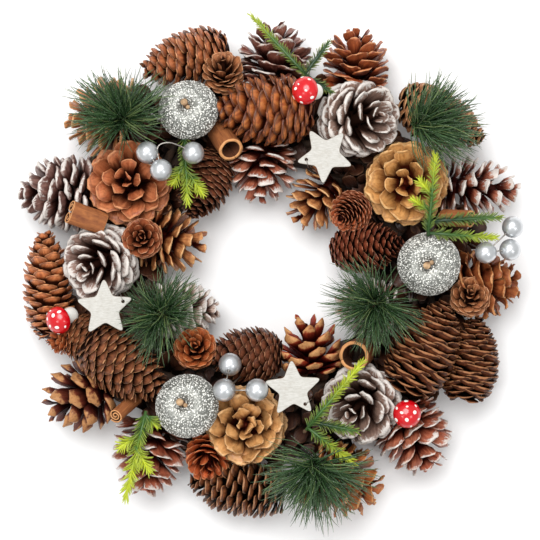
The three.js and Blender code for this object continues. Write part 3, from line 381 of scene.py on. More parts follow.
def facing(way):
    """The turn that points a piece's own +Z along way."""
    return way.to_track_quat("Z", "Y").to_matrix().to_4x4()


def spread(count):
    """Evenly spread angles."""
    return [i / count * 2 * math.pi for i in range(count)]


def polar(radius, angle, z=0.0):
    """The point at a radius and an angle round Z."""
    return Vector((radius * math.cos(angle), radius * math.sin(angle), z))


# ---- node trees ----

def works_out(operation):
    """One kind of sum, for a Flow and whatever is on the other side of the operator."""
    return lambda flow, other: flow.wiring.math(operation, flow, other)


class Flow:
    """A number that runs through a node tree, so that a formula reads as it would on paper."""
    __add__ = __radd__ = works_out("ADD")
    __mul__ = __rmul__ = works_out("MULTIPLY")
    __sub__ = works_out("SUBTRACT")
    __truediv__ = works_out("DIVIDE")
    __pow__ = works_out("POWER")

    def __init__(self, wiring, socket):
        self.wiring = wiring
        self.socket = socket

    def __rsub__(self, other):
        return self.wiring.math("SUBTRACT", other, self)

    def beside(self, name):
        """Another output of the node that this one comes from."""
        return Flow(self.wiring, self.socket.node.outputs[name])


class Wiring:
    """Adds nodes to a tree. An input is a number, a colour, or what another node gives."""

    def __init__(self, tree):
        self.tree = tree

    def takes(self, **sizes):
        """The tree's own inputs by name: a number is its usual value, a word its kind."""
        for name, usual in sizes.items():
            kind = {int: "Int", float: "Float"}.get(type(usual), usual)
            socket = self.tree.interface.new_socket(
                name.replace("_", " "), in_out="INPUT", socket_type=f"NodeSocket{kind}")
            if kind != usual:
                socket.default_value = usual
        outer = self.tree.nodes.new("NodeGroupInput")
        return [Flow(self, socket) for socket in outer.outputs if socket.name]

    def gives(self, geometry):
        """Ends the tree with its one result."""
        self.tree.interface.new_socket("Result", in_out="OUTPUT", socket_type="NodeSocketGeometry")
        self.feed(self.tree.nodes.new("NodeGroupOutput").inputs[0], geometry)
        return self.tree

    def feed(self, socket, value):
        """Links an input, or sets its value."""
        if isinstance(value, Flow):
            self.tree.links.new(value.socket, socket)
        else:
            socket.default_value = value

    def pick(self, sockets, name):
        """The socket with a number or a name, or else the first that is in use."""
        if isinstance(name, int):
            return sockets[name]
        return next(s for s in sockets if s.enabled and name in (None, s.name))

    def node(self, kind, inputs=(), gives=None, **settings):
        """A new node, as the flow out of the output that it gives."""
        made = self.tree.nodes.new(kind)
        for name, value in settings.items():
            setattr(made, name, value)
        for name, value in dict(inputs).items():
            self.feed(self.pick(made.inputs, name), value)
        return Flow(self, self.pick(made.outputs, gives))

    def math(self, operation, *values):
        return self.node("ShaderNodeMath", enumerate(values), operation=operation)

    def cos(self, angle):
        return self.math("COSINE", angle)

    def sin(self, angle):
        return self.math("SINE", angle)

    def larger(self, one, other):
        return self.math("MAXIMUM", one, other)

    def smaller(self, one, other):
        return self.math("MINIMUM", one, other)

    def size_of(self, value):
        return self.math("ABSOLUTE", value)

    def between(self, value, low, high, start=0.0, end=1.0, smooth=False):
        """value's place between low and high, as a number from start to end."""
        kind = "SMOOTHSTEP" if smooth else "LINEAR"
        places = {"Value": value, "From Min": low, "From Max": high, "To Min": start, "To Max": end}
        return self.node("ShaderNodeMapRange", places, interpolation_type=kind)

    def vector(self, x, y, z):
        return self.node("ShaderNodeCombineXYZ", {"X": x, "Y": y, "Z": z})

    # for shapes
    def along_row(self, count):
        """A point's number, and how far it is along a row of count points."""
        index = self.node("GeometryNodeInputIndex")
        return index, (index + 0.5) / count

    def chance(self, low, high, seed):
        inputs = {"Min": low, "Max": high, "Seed": seed}
        return self.node("FunctionNodeRandomValue", inputs, data_type="FLOAT")

    def astray(self, amount, seed):
        """A chance number that goes as far as amount to either side of 0."""
        return self.chance(-1.0, 1.0, seed) * amount

    def tagged(self, geometry, name, value):
        """Stores a number for each point."""
        inputs = {"Geometry": geometry, "Name": name, "Value": value}
        return self.node("GeometryNodeStoreNamedAttribute", inputs, data_type="FLOAT", domain="POINT")

    def toned(self, points, seed):
        """Gives each point a tone of its own, from 0 to 1."""
        return self.tagged(points, "tone", self.chance(0.0, 1.0, seed))

    def roots(self, count, position, seed):
        """Toned points that something grows from."""
        points = self.node("GeometryNodePoints", {"Count": count, "Position": position})
        return self.toned(points, seed)

    def spots(self, surface, density, seed):
        """Toned points strewn over a surface, and how each stands on it."""
        inputs = {"Mesh": surface, "Density": density, "Seed": seed}
        spots = self.node("GeometryNodeDistributePointsOnFaces", inputs, distribute_method="RANDOM")
        return self.toned(spots, seed), spots.beside("Rotation")

    def one_on_each(self, points, thing, **inputs):
        """Instances of a thing on points."""
        inputs = {"Points": points, "Instance": thing, **inputs}
        return self.node("GeometryNodeInstanceOnPoints", inputs)

    def shape_of(self, thing):
        """The mesh of another object."""
        return self.node("GeometryNodeObjectInfo", {"Object": thing}, "Geometry")

    def roughened(self, geometry, size, amount):
        """Moves every point a little, by a soft noise as coarse as size."""
        inputs = {"Vector": self.node("GeometryNodeInputPosition"), "Scale": 1 / size, "Detail": 1.0}
        cloud = self.node("ShaderNodeTexNoise", inputs, "Color")
        centred = self.node("ShaderNodeVectorMath", {0: cloud, 1: (0.5, 0.5, 0.5)}, operation="SUBTRACT")
        offset = self.node("ShaderNodeVectorMath", {0: centred, "Scale": amount}, operation="SCALE")
        return self.node("GeometryNodeSetPosition", {"Geometry": geometry, "Offset": offset})

    def real(self, instances):
        return self.node("GeometryNodeRealizeInstances", {"Geometry": instances})

    def finished(self, instances, finish):
        """Makes instances real and gives them their material."""
        real = self.real(instances)
        return self.node("GeometryNodeSetMaterial", {"Geometry": real, "Material": finish})

    # for finishes
    def where(self):
        """The place on the object."""
        return self.node("ShaderNodeTexCoord", gives="Object")

    def tag(self, name):
        return self.node("ShaderNodeAttribute", gives="Fac", attribute_name=name)

    def grain(self, vector, scale, detail=3.0, rough=0.6):
        """Soft noise from 0 to 1, mostly near 0.5."""
        inputs = {"Vector": vector, "Scale": scale, "Detail": detail, "Roughness": rough}
        return self.node("ShaderNodeTexNoise", inputs, "Fac")

    def mixed(self, share, one, other):
        """A mix of two colours. Three numbers are a colour as paint takes it."""
        one, other = (c if isinstance(c, Flow) else paint(*c) for c in (one, other))
        return self.node("ShaderNodeMix", {"Factor": share, "A": one, "B": other}, data_type="RGBA")

    def bump(self, height, depth, strength=1.0, under=None):
        """The surface with a relief, on top of the relief under it."""
        inputs = {"Height": height, "Distance": depth, "Strength": strength}
        if under:
            inputs["Normal"] = under
        return self.node("ShaderNodeBump", inputs)

    def shade(self, **inputs):
        """Feeds the inputs of the shader."""
        shader = self.tree.nodes["Principled BSDF"]
        for name, value in inputs.items():
            self.feed(shader.inputs[name.replace("_", " ")], value)


def new_tree(name):
    """The wiring of a new tree that makes shapes."""
    return Wiring(bpy.data.node_groups.new(name, "GeometryNodeTree"))


def spiral_of_scales():
    """Scales wound round a cone's axis from its base to its tip, which points to +Z."""
    w = new_tree("spiral of scales")
    (scale, scales, length, radius, core, base_lean, tip_lean, skirt, lowest, widest, base_steepness,
     tip_steepness, closing, broad, stray, uneven, seed, finish) = w.takes(
        Scale="Geometry", Scales=60, Length=0.06, Radius=0.02, Core=0.5, Base_lean=1.0, Tip_lean=1.0,
        Skirt=0.0, Lowest=0.1, Widest=0.4, Base_steepness=1.5, Tip_steepness=1.5, Closing=0.5, Broad=0.7,
        Stray=0.05, Uneven=0.001, Seed=1, Finish="Material")
    index, up = w.along_row(scales)
    past = w.math("GREATER_THAN", up, widest)
    steepness = base_steepness + (tip_steepness - base_steepness) * past
    narrowing = 1 - ((up - widest) * steepness) ** 2
    oval = w.math("SQRT", w.larger(narrowing, SLIMMEST ** 2))
    shut = 1 - closing * w.larger((up - CLOSES_FROM) / (1 - CLOSES_FROM), 0.0) ** 2
    tip_r = radius * oval * shut
    tip_z = length * (lowest + (1 - lowest) * up)
    root_r = tip_r * core
    folded = skirt * w.larger(1 - up / SKIRT_REACH, 0.0)
    lean = base_lean + (tip_lean - base_lean) * up - folded + w.astray(stray, seed)
    run = tip_r - root_r
    rise = w.smaller(run * w.math("TANGENT", lean), tip_z - lowest * length)
    reach = w.math("SQRT", run ** 2 + rise ** 2) * w.chance(*SCALE_REACH, seed + 4)
    tilt = w.math("ARCTAN2", rise, run)
    angle = index * GOLDEN_ANGLE + w.astray(stray, seed + 1)
    foot = w.vector(root_r * w.cos(angle), root_r * w.sin(angle), tip_z - rise - 0.5 * length)
    roots = w.tagged(w.roots(scales, foot, seed + 2), "rank", up)
    due = broad * (EVEN_WIDTH * radius + (1 - EVEN_WIDTH) * tip_r)
    width = due * w.chance(*SCALE_WIDTH, seed + 5)
    wound = w.one_on_each(
        roots, scale, Scale=w.vector(reach, width, width),
        Rotation=w.vector(w.astray(stray, seed + 3) * 2, 0 - tilt, angle))
    bent = w.roughened(w.finished(wound, finish), BEND_SIZE, uneven)
    return w.gives(w.roughened(bent, RUFFLE_SIZE, uneven * RUFFLE_SHARE))


def burst_of_needles():
    """Needles that fan out round the end of a twig, each as long as its neighbours let it be."""
    w = new_tree("burst of needles")
    (needle, needles, reach, shorter, twig, lowest, highest, stray, clear, neighbours, seed,
     finish) = w.takes(
        Needle="Geometry", Needles=300, Reach=0.04, Shorter=0.2, Twig=0.01, Lowest=-0.2, Highest=1.0,
        Stray=0.1, Clear=0.001, Neighbours="Object", Seed=1, Finish="Material")
    index, up = w.along_row(needles)
    lift = lowest + (highest - lowest) * up + w.astray(stray, seed)
    angle = index * GOLDEN_ANGLE + w.astray(stray, seed + 1)
    out = w.cos(lift)
    way = w.vector(out * w.cos(angle), out * w.sin(angle), w.sin(lift))
    start = w.vector(0.0, 0.0, (up - 0.5) * twig)
    hit = w.node("GeometryNodeRaycast", {
        "Target Geometry": w.shape_of(neighbours), "Source Position": start, "Ray Direction": way,
        "Ray Length": reach})
    free = reach + hit.beside("Is Hit") * (hit.beside("Hit Distance") - clear - reach)
    full = reach * (1 - shorter * w.chance(0.0, 1.0, seed + 2))
    length = w.smaller(full, free)
    long_enough = w.math("GREATER_THAN", length, SHORTEST_NEEDLE * reach)
    fan = w.one_on_each(
        w.roots(needles, start, seed + 3), needle, Selection=long_enough, Scale=length,
        Rotation=w.vector(w.chance(*ANY_WAY, seed + 4), 0 - lift, angle))
    return w.gives(w.finished(fan, finish))


def needled_finger():
    """Short needles to the left and right of a moulded twig that runs up +Z."""
    w = new_tree("needled finger")
    (needle, needles, length, bare, reach, base_lean, tip_lean, spread_out, youth, stray, seed,
     finish) = w.takes(
        Needle="Geometry", Needles=100, Length=0.05, Bare=0.003, Reach=0.005, Base_lean=0.7, Tip_lean=1.3,
        Spread_out=0.8, Youth=0.5, Stray=0.15, Seed=1, Finish="Material")
    index, up = w.along_row(needles)
    lean = base_lean + (tip_lean - base_lean) * up ** SPRIG_LEANS_LATE + w.astray(stray, seed)
    angle = math.pi / 2 + index * math.pi + w.astray(spread_out, seed + 4)
    height = bare + (length - bare - reach) * up
    roots = w.roots(needles, w.vector(0.0, 0.0, height), seed + 2)
    fan = w.one_on_each(
        w.tagged(roots, "rank", height / length + youth), needle,
        Rotation=w.vector(w.chance(*SPRIG_NEEDLE_ROLL, seed + 3), 0 - lean, angle),
        Scale=reach * w.chance(*SPRIG_NEEDLE_SIZE, seed + 1))
    return w.gives(w.finished(fan, finish))


def coat_of_glitter():
    """Coarse grains of glitter strewn over a surface."""
    w = new_tree("coat of glitter")
    surface, density, grain, seed, finish = w.takes(
        Surface="Geometry", Density=500000.0, Grain=0.0005, Seed=1, Finish="Material")
    spots, upright = w.spots(surface, density, seed)
    flake = w.node("GeometryNodeMeshCone", {
        "Vertices": 5, "Radius Top": 0.0, "Radius Bottom": grain, "Depth": grain * GRAIN_HEIGHT})
    lying = w.vector(
        w.chance(*GRAIN_TILT, seed + 1), w.chance(*GRAIN_TILT, seed + 2), w.chance(*ANY_WAY, seed + 3))
    turns = {"Rotation": upright, "Rotate By": lying}
    tipped = w.node("FunctionNodeRotateRotation", turns, rotation_space="LOCAL")
    strewn = w.one_on_each(spots, flake, Rotation=tipped, Scale=w.chance(*GRAIN_SIZE, seed + 4))
    flat = w.node("GeometryNodeSetShadeSmooth", {"Geometry": w.real(strewn), "Shade Smooth": False})
    both = w.node("GeometryNodeJoinGeometry")
    for part in (flat, surface):
        w.feed(both.socket.node.inputs[0], part)
    return w.gives(w.finished(both, finish))


def wound_vines():
    """Vines that lie side by side round a flattened ring and wind about it."""
    w = new_tree("wound vines")
    vines, radius, half_width, half_height, middle, thick, winds, steps, seed, finish = w.takes(
        Vines=20, Radius=0.1, Half_width=0.03, Half_height=0.01, Middle=0.01, Thick=0.003, Winds=1,
        Steps=180, Seed=1, Finish="Material")
    hoop = w.node("GeometryNodeCurvePrimitiveCircle", {"Resolution": steps, "Radius": 1.0})
    row = w.node("GeometryNodeMeshLine", {"Count": vines, "Offset": (0.0, 0.0, 0.0)})
    row = w.toned(w.tagged(row, "vine", w.node("GeometryNodeInputIndex")), seed)
    hoops = w.real(w.one_on_each(row, hoop))
    vine = w.node("GeometryNodeInputNamedAttribute", {"Name": "vine"}, data_type="FLOAT")
    way = w.node("GeometryNodeSplineParameter", gives="Factor") * (2 * math.pi)
    turn = vine / vines * (2 * math.pi) + way * winds
    at = w.vector(w.cos(way) * SWAY_LOOP, w.sin(way) * SWAY_LOOP, vine * SWAY_APART)
    sway = w.node("ShaderNodeTexNoise", {"Vector": at, "Scale": SWAY_GRAIN}, "Fac")
    inset = 1 - VINE_SWAY * sway
    out = radius + half_width * inset * w.cos(turn)
    up = w.larger(middle + half_height * inset * w.sin(turn), thick)
    lie = w.vector(out * w.cos(way), out * w.sin(way), up)
    moved = w.node("GeometryNodeSetPosition", {"Geometry": hoops, "Position": lie})
    girth = w.node("GeometryNodeCurvePrimitiveCircle", {"Resolution": 8, "Radius": thick})
    swept = w.node("GeometryNodeCurveToMesh", {"Curve": moved, "Profile Curve": girth})
    return w.gives(w.finished(swept, finish))


def strewn_scales():
    """Loose cone scales that lie and stand in the gaps between the cones."""
    w = new_tree("strewn scales")
    ground, scale, density, length, width, tilt, seed, finish = w.takes(
        Ground="Geometry", Scale="Object", Density=10000.0, Length=0.014, Width=0.008, Tilt=0.9, Seed=1,
        Finish="Material")
    spots, _ = w.spots(ground, density, seed)
    lying = w.vector(
        w.chance(*LOOSE_ROCK, seed + 1), w.chance(0 - tilt, LOOSE_DIP, seed + 2),
        w.chance(*ANY_WAY, seed + 3))
    size = w.chance(*LOOSE_SIZE, seed + 4)
    scaled = w.vector(size * length, size * width, size * width)
    strewn = w.one_on_each(spots, w.shape_of(scale), Rotation=lying, Scale=scaled)
    return w.gives(w.roughened(w.finished(strewn, finish), BEND_SIZE, LOOSE_UNEVEN))


def in_scene(name, data):
    """A new object in the scene."""
    made = bpy.data.objects.new(name, data)
    bpy.context.scene.collection.objects.link(made)
    return made


def plain_mesh_of(thing):
    """What an object comes to, as a plain mesh."""
    layer = bpy.context.evaluated_depsgraph_get()
    return bpy.data.meshes.new_from_object(
        thing.evaluated_get(layer), preserve_all_data_layers=True, depsgraph=layer)


def grown(tree, seedling, **sizes):
    """What a tree makes of a mesh and its sizes, as a plain mesh."""
    piece = in_scene("growing", seedling or bpy.data.meshes.new("nothing"))
    modifier = piece.modifiers.new("growth", "NODES")
    modifier.node_group = tree
    for socket in tree.interface.items_tree:
        name = socket.name.replace(" ", "_")
        if socket.in_out == "INPUT" and name in sizes:
            modifier[socket.identifier] = sizes.pop(name)
    assert not sizes, sizes
    mesh = plain_mesh_of(piece)
    piece.modifiers.remove(modifier)
    bpy.data.objects.remove(piece)
    return mesh


# ---- meshes ----

def tag_points(mesh, name, values):
    """Stores a number for each point of a mesh."""
    mesh.attributes.new(name, "FLOAT", "POINT").data.foreach_set("value", values)


def face_outwards(mesh, merged=0):
    """Turns every face to point out, after points that are as close as merged are made one."""
    work = bmesh.new()
    work.from_mesh(mesh)
    if merged:
        bmesh.ops.remove_doubles(work, verts=work.verts, dist=merged)
    bmesh.ops.recalc_face_normals(work, faces=work.faces)
    work.to_mesh(mesh)
    work.free()


def mesh_of(points, faces, tags=None):
    """A smooth mesh whose faces point out, with numbers tagged to its points."""
    mesh = bpy.data.meshes.new("mesh")
    mesh.from_pydata([tuple(p) for p in points], [], faces)
    face_outwards(mesh)
    for name, values in (tags or {}).items():
        tag_points(mesh, name, values)
    mesh.shade_smooth()
    return mesh


def band(low, high, count):
    """The faces between two rings of count points, which start at the numbers low and high."""
    after = [(i + 1) % count for i in range(count)]
    return [(low + i, low + after[i], high + after[i], high + i) for i in range(count)]


def skin_over(rings, tags=None):
    """A closed skin over rings of equal count; its two ends are flat faces."""
    count = len(rings[0])
    points = [p for ring in rings for p in ring]
    faces = [tuple(range(count)), tuple(len(points) - 1 - i for i in range(count))]
    for low in range(0, len(points) - count, count):
        faces += band(low, low + count, count)
    return mesh_of(points, faces, tags)


def turned(outline, sides):
    """A solid of revolution about Z from an outline of (radius, height) that ends on the axis."""
    points = [(0, 0, outline[0][1])]
    for r, z in outline[1:-1]:
        points += [polar(r, a, z) for a in spread(sides)]
    points.append((0, 0, outline[-1][1]))
    last = len(points) - 1
    faces = [(0, 1 + (i + 1) % sides, 1 + i) for i in range(sides)]
    faces += [(last, last - sides + i, last - sides + (i + 1) % sides) for i in range(sides)]
    for low in range(1, last - sides, sides):
        faces += band(low, low + sides, sides)
    return mesh_of(points, faces)


def tube(path, radii, sides=8):
    """A tube along points, with a radius at each."""
    rings = []
    side = Vector((0, 0, 1)).cross(path[1] - path[0])
    side = side if side.length > 1e-9 else Vector((1, 0, 0))
    for i, point in enumerate(path):
        ahead = (path[min(i + 1, len(path) - 1)] - path[max(i - 1, 0)]).normalized()
        side = (side - ahead * side.dot(ahead)).normalized()
        other = ahead.cross(side)
        rings.append([point + radii[i] * (side * math.cos(a) + other * math.sin(a)) for a in spread(sides)])
    return skin_over(rings)


def rod(outline, sides=8, length=1.0):
    """A tube up +Z from an outline of (height as a share of length, radius)."""
    return tube([Vector((0, 0, length * z)) for z, _ in outline], [r for _, r in outline], sides)


def curve_through(points, steps):
    """Points along a soft curve through the given ones."""
    points = [Vector(p) for p in points]
    ends = [2 * points[0] - points[1], *points, 2 * points[-1] - points[-2]]
    path = []
    for a, b, c, d in zip(ends, ends[1:], ends[2:], ends[3:]):
        for i in range(steps):
            t = i / steps
            path.append(0.5 * (2 * b + (c - a) * t + (2 * a - 5 * b + 4 * c - d) * t ** 2
                               + (3 * b - 3 * c + d - a) * t ** 3))
    return [*path, points[-1]]


def set_down(mesh, place, finish=None):
    """A copy of a mesh, put in its place in the mesh itself."""
    mesh = mesh.copy()
    mesh.transform(place)
    if finish:
        mesh.materials.clear()
        mesh.materials.append(finish)
    return mesh


def piece_of(node, meshes):
    """Joins meshes to the one piece that stands for a node."""
    parts = [in_scene(f"{node}_dressed", mesh) for mesh in meshes]
    piece = parts[0]
    if len(parts) > 1:
        with bpy.context.temp_override(active_object=piece, object=piece, selected_objects=parts,
                                       selected_editable_objects=parts):
            bpy.ops.object.join()
    piece.name = f"{node}_dressed"
    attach(piece, "root")
    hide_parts(node)


# ---- finishes ----

def paint(red, green, blue):
    """A colour as it looks on a screen, from 0 to 255, as the shaders count it."""
    def linear(value):
        share = value / 255
        return share / 12.92 if share <= 0.04045 else ((share + 0.055) / 1.055) ** 2.4
    return (linear(red), linear(green), linear(blue), 1.0)


def new_finish(name):
    """A material, and the wiring of its nodes."""
    material = bpy.data.materials.new(name)
    material.use_nodes = True
    return material, Wiring(material.node_tree)


# Cone finishes: the colour deep in the cone, which is painted shade and also the dark of streaks and tones,
# on the upper and on the under side of a scale, on its free end and along its very edge, which is partly
# its own pale rim and partly a painted highlight, and how strong the line of painted shade is that follows
# the edge.
CONE_FINISHES = {
    "amber": ((42, 11, 8), (114, 52, 30), (154, 74, 35), (200, 124, 64), (98, 36, 22), 0.95),
    "orange_brown": ((42, 18, 10), (144, 78, 44), (158, 84, 48), (198, 122, 76), (210, 150, 102), 0.7),
    "pale_orange": ((52, 22, 12), (154, 84, 48), (186, 98, 54), (222, 142, 88), (222, 156, 104), 0.6),
    "umber": ((28, 14, 10), (74, 42, 30), (96, 50, 32), (130, 74, 48), (180, 128, 92), 0.5),
    "cinnamon_brown": ((28, 14, 9), (94, 50, 32), (106, 56, 33), (150, 90, 54), (210, 154, 106), 0.5),
    "bark": ((10, 6, 5), (60, 34, 22), (102, 54, 30), (150, 90, 52), (180, 130, 90), 0.6),
    "chestnut": ((13, 6, 4), (69, 34, 21), (74, 35, 20), (112, 61, 35), (178, 124, 84), 0.7),
    "russet": ((18, 7, 5), (100, 46, 32), (110, 46, 29), (150, 78, 50), (192, 126, 92), 0.5),
    "tan": ((34, 18, 12), (158, 104, 68), (156, 98, 62), (196, 140, 94), (206, 158, 114), 0.5),
    "terracotta": ((44, 14, 8), (170, 87, 51), (132, 66, 40), (208, 130, 86), (216, 150, 104), 0.3),
    "golden": ((70, 22, 11), (198, 134, 70), (156, 94, 48), (226, 170, 106), (230, 186, 128), 0.3),
    "golden_brown": ((62, 18, 10), (204, 140, 80), (146, 86, 46), (228, 174, 112), (234, 188, 134), 0.2),
    "frosted_grey": ((42, 24, 18), (130, 100, 86), (94, 66, 52), (154, 126, 112), (196, 180, 170), 0.2),
    "frosted_white": ((46, 24, 19), (132, 98, 84), (104, 68, 56), (166, 136, 124), (200, 184, 174), 0.2),
    "frosted_brown": ((34, 15, 12), (112, 70, 60), (88, 50, 41), (142, 106, 96), (190, 170, 160), 0.2),
    "frosted_purple": ((34, 10, 8), (118, 54, 42), (96, 45, 36), (152, 98, 80), (198, 170, 154), 0.2),
    "frosted_red": ((50, 12, 8), (182, 82, 50), (146, 68, 44), (208, 132, 100), (226, 190, 168), 0.3),
    "frosted_rust": ((56, 15, 10), (192, 92, 60), (158, 82, 58), (214, 150, 118), (232, 208, 192), 0.3),
    "frosted_pale": ((70, 38, 30), (196, 160, 142), (170, 130, 112), (226, 206, 192), (240, 230, 222), 0.2),
    "open_tan": ((58, 15, 8), (190, 88, 42), (156, 92, 50), (220, 152, 94), (230, 182, 126), 0.3),
    "open_red": ((46, 11, 7), (154, 60, 30), (128, 56, 31), (190, 104, 58), (218, 156, 108), 0.3),
    "open_orange": ((58, 15, 8), (186, 90, 44), (164, 84, 44), (216, 140, 80), (228, 174, 112), 0.3),
    "open_rust": ((50, 13, 7), (158, 70, 34), (138, 66, 36), (192, 116, 66), (212, 154, 100), 0.3),
    "open_purple": ((34, 8, 8), (104, 38, 28), (92, 38, 27), (120, 60, 40), (198, 144, 92), 0.2),
    "open_crimson": ((50, 8, 7), (164, 40, 24), (130, 42, 25), (160, 66, 38), (210, 160, 104), 0.2),
    "bud_tan": ((42, 20, 12), (164, 98, 62), (128, 72, 44), (196, 130, 84), (220, 164, 120), 0.3),
    "bud_dark": ((36, 12, 7), (146, 70, 40), (114, 54, 32), (176, 100, 62), (218, 156, 112), 0.3),
    "bud_orange": ((46, 14, 8), (182, 84, 42), (148, 68, 34), (206, 118, 66), (224, 156, 104), 0.3),
    "bud_red": ((54, 13, 8), (204, 84, 38), (166, 66, 32), (222, 118, 66), (232, 156, 102), 0.3),
    "bud_russet": ((36, 11, 7), (178, 82, 46), (142, 64, 38), (208, 116, 72), (230, 170, 134), 0.3),
    # the loose scales, partly their own dark brown and partly painted shade for the gaps between the cones
    "shade_dark_mulch": ((14, 7, 5), (66, 32, 20), (52, 27, 17), (88, 54, 35), (116, 80, 56), 0.3),
}
# How much white paint the frosted ones have, and its colour.
FROSTED = {
    "frosted_grey": 0.74, "frosted_white": 0.84, "frosted_brown": 0.66, "frosted_purple": 0.5,
    "frosted_red": 0.7, "frosted_rust": 1.0, "frosted_pale": 1.0,
}
FROST = (220, 213, 206)
# Where along a scale, from claw to free end, the painted shade deep in the cone gives way to its own
# colour.
CLEARS = {"plump": (0.46, 0.72), "tight": (0.56, 0.84), "slatted": (0.6, 0.86), "bladed": (0.56, 0.86)}
CLEARS_OPEN = (0.34, 0.78)
# How much of the usual sheen the scales of a form have.
SHEEN = {"slatted": 0.3, "kited": 0.5, "tight": 0.6, "lobed": 0.6, "rosette": 0.7}


def cone_finish(name, clears=CLEARS_OPEN, sheen=1.0):
    """Woody scales, streaked along their length, with painted shade near the core and within the edge, a
    fine pale edge that is partly a painted highlight and, if frosted, white paint.
    """
    # deep is painted shade for the depths of the cone, and also the dark of its streaks and tones
    deep, upper, under, end, edge, edge_shade = CONE_FINISHES[name]
    material, w = new_finish(name)
    along, across, tone, rim = w.tag("along"), w.tag("across"), w.tag("tone"), w.tag("rim")
    streaks = w.grain(w.vector(across * 1.7, along * 0.8, tone * 41), 2.0, 4.0)
    fibres = w.grain(w.vector(across * 5, along * 0.9, tone * 61), 3.0, 3.0)
    where = w.where()
    patches = w.grain(where, 260.0)
    # its two sides and its end, each scale its own tone, streaked with light and dark
    face = w.mixed(w.tag("face"), under, upper)
    face = w.mixed(w.between(tone, 0.0, 0.5, 0.45, 0.0), face, deep)
    face = w.mixed(w.between(streaks, 0.45, 0.68, 0.0, 0.75), face, end)
    face = w.mixed(w.between(streaks, 0.46, 0.3, 0.0, 0.55), face, deep)
    face = w.mixed(w.between(along, 0.62, 0.95, 0.0, 0.65) * w.between(patches, 0.3, 0.55), face, end)
    # painted shade near the core, along its sides and in a line within its edge; the edge itself is pale,
    # partly its own colour and partly a painted highlight
    unshaded = w.between(along, *clears, smooth=True)
    sides = w.between(w.size_of(across), 0.35, 0.95, 0.0, 0.6 * edge_shade)
    body = w.mixed(unshaded, deep, w.mixed(sides, face, deep))
    body = w.mixed(w.between(w.size_of(rim - 0.34), 0.34, 0.0, 0.0, edge_shade), body, deep)
    # the pale rim: partly the scale's own colour, partly a painted highlight
    bright = w.between(rim + (patches - 0.5) * 1.3, 0.6, 1.0, smooth=True)
    body = w.mixed(bright * 0.75, body, edge)
    body = w.mixed(w.between(patches, 0.56, 0.74, 0.0, 0.4), body, deep)
    rough = w.between(fibres, 0.25, 0.75, 0.3, 0.54)
    if name in FROSTED:
        # paint that was sprayed on the free ends, thick in places and worn through in others
        flow = w.grain(w.vector(across * 1.6, along * 1.3, tone * 37), 2.2, 5.0)
        spray = w.grain(where, 520.0)
        reached = w.between(along, 0.56, 1.0, 0.0, 0.6) + w.between(rim, 0.1, 0.9, 0.0, 0.25)
        sprayed = reached + (flow - 0.5) * 1.5 + (spray - 0.5) * 0.7 + (tone - 0.5) * 0.36
        bare = 0.98 - 0.74 * FROSTED[name]
        white = w.between(sprayed, bare, bare + 0.34, 0.0, 0.92, smooth=True)
        body = w.mixed(white, body, FROST)
        rough = rough - white * 0.12
    ridges = w.bump(fibres, 0.0006, 0.7)
    w.shade(Base_Color=body, Roughness=rough, Specular_IOR_Level=sheen * (0.08 + 0.24 * unshaded),
            Coat_Weight=sheen * 0.26 * unshaded, Coat_Roughness=0.2,
            Normal=w.bump(w.grain(where, 700.0), 0.0005, 0.6, ridges))
    return material


def needle_finish():
    """Glossy plastic needles, each its own green, lighter towards the point, with specks of glitter."""
    material, w = new_finish("needle_green")
    tone = w.tag("tone")
    green = w.mixed(w.between(tone, 0.0, 0.75), (30, 52, 32), (62, 94, 54))
    green = w.mixed(w.between(tone, 0.82, 0.95, 0.0, 0.8), green, (134, 152, 94))
    green = w.mixed(w.between(w.tag("along"), 0.35, 1.0, 0.0, 0.35), green, (104, 128, 92))
    specks = w.between(w.grain(w.where(), 1300.0, 2.0), 0.66, 0.7, 0.0, 0.8)
    w.shade(Base_Color=w.mixed(specks, green, (206, 212, 204)), Roughness=0.26,
            Normal=w.bump(w.grain(w.where(), 1500.0), 0.0002, 0.3))
    return material


def sprig_finish():
    """Moulded spruce, deep green at the fork and yellow green where it is young."""
    material, w = new_finish("sprig_green")
    rank = w.tag("rank") + (w.tag("tone") - 0.5) * 0.24
    green = w.mixed(w.between(rank, 0.2, 0.85), (28, 56, 28), (66, 102, 38))
    green = w.mixed(w.between(rank, 0.85, 1.35), green, (184, 196, 40))
    green = w.mixed(w.between(w.tag("along"), 0.3, 1.0, 0.0, 0.4), green, (190, 200, 84))
    w.shade(Base_Color=green, Roughness=0.38, Subsurface_Weight=0.15,
            Subsurface_Radius=(0.001, 0.0015, 0.0004), Subsurface_Scale=0.5,
            Normal=w.bump(w.grain(w.where(), 1200.0), 0.0002, 0.4))
    return material


def glitter_finish():
    """Silver grains, some white, some bright as a mirror and some dark."""
    material, w = new_finish("silver_glitter")
    tone = w.tag("tone")
    silver = w.mixed(w.between(tone, 0.12, 0.4), (130, 131, 125), (192, 193, 188))
    w.shade(Base_Color=w.mixed(w.between(tone, 0.5, 0.62), silver, (246, 245, 238)),
            Metallic=w.between(tone, 0.4, 0.6, 0.5, 0.1),
            Roughness=w.between(w.grain(w.where(), 2600.0), 0.3, 0.7, 0.16, 0.4),
            Normal=w.bump(w.grain(w.where(), 1800.0), 0.0003, 0.8))
    return material


def even_finish(name, mottle, dark, light, relief, rough, **inputs):
    """Paint or metal, mottled a little. relief is its grain, depth and strength, if it has any."""
    material, w = new_finish(name)
    cloud = w.grain(w.where(), mottle)
    if isinstance(rough, tuple):
        rough = w.between(cloud, 0.3, 0.7, *rough)
    w.shade(Base_Color=w.mixed(cloud, dark, light), Roughness=rough, **inputs)
    if relief:
        grain, depth, strength = relief
        w.shade(Normal=w.bump(w.grain(w.where(), grain), depth, strength))
    return material


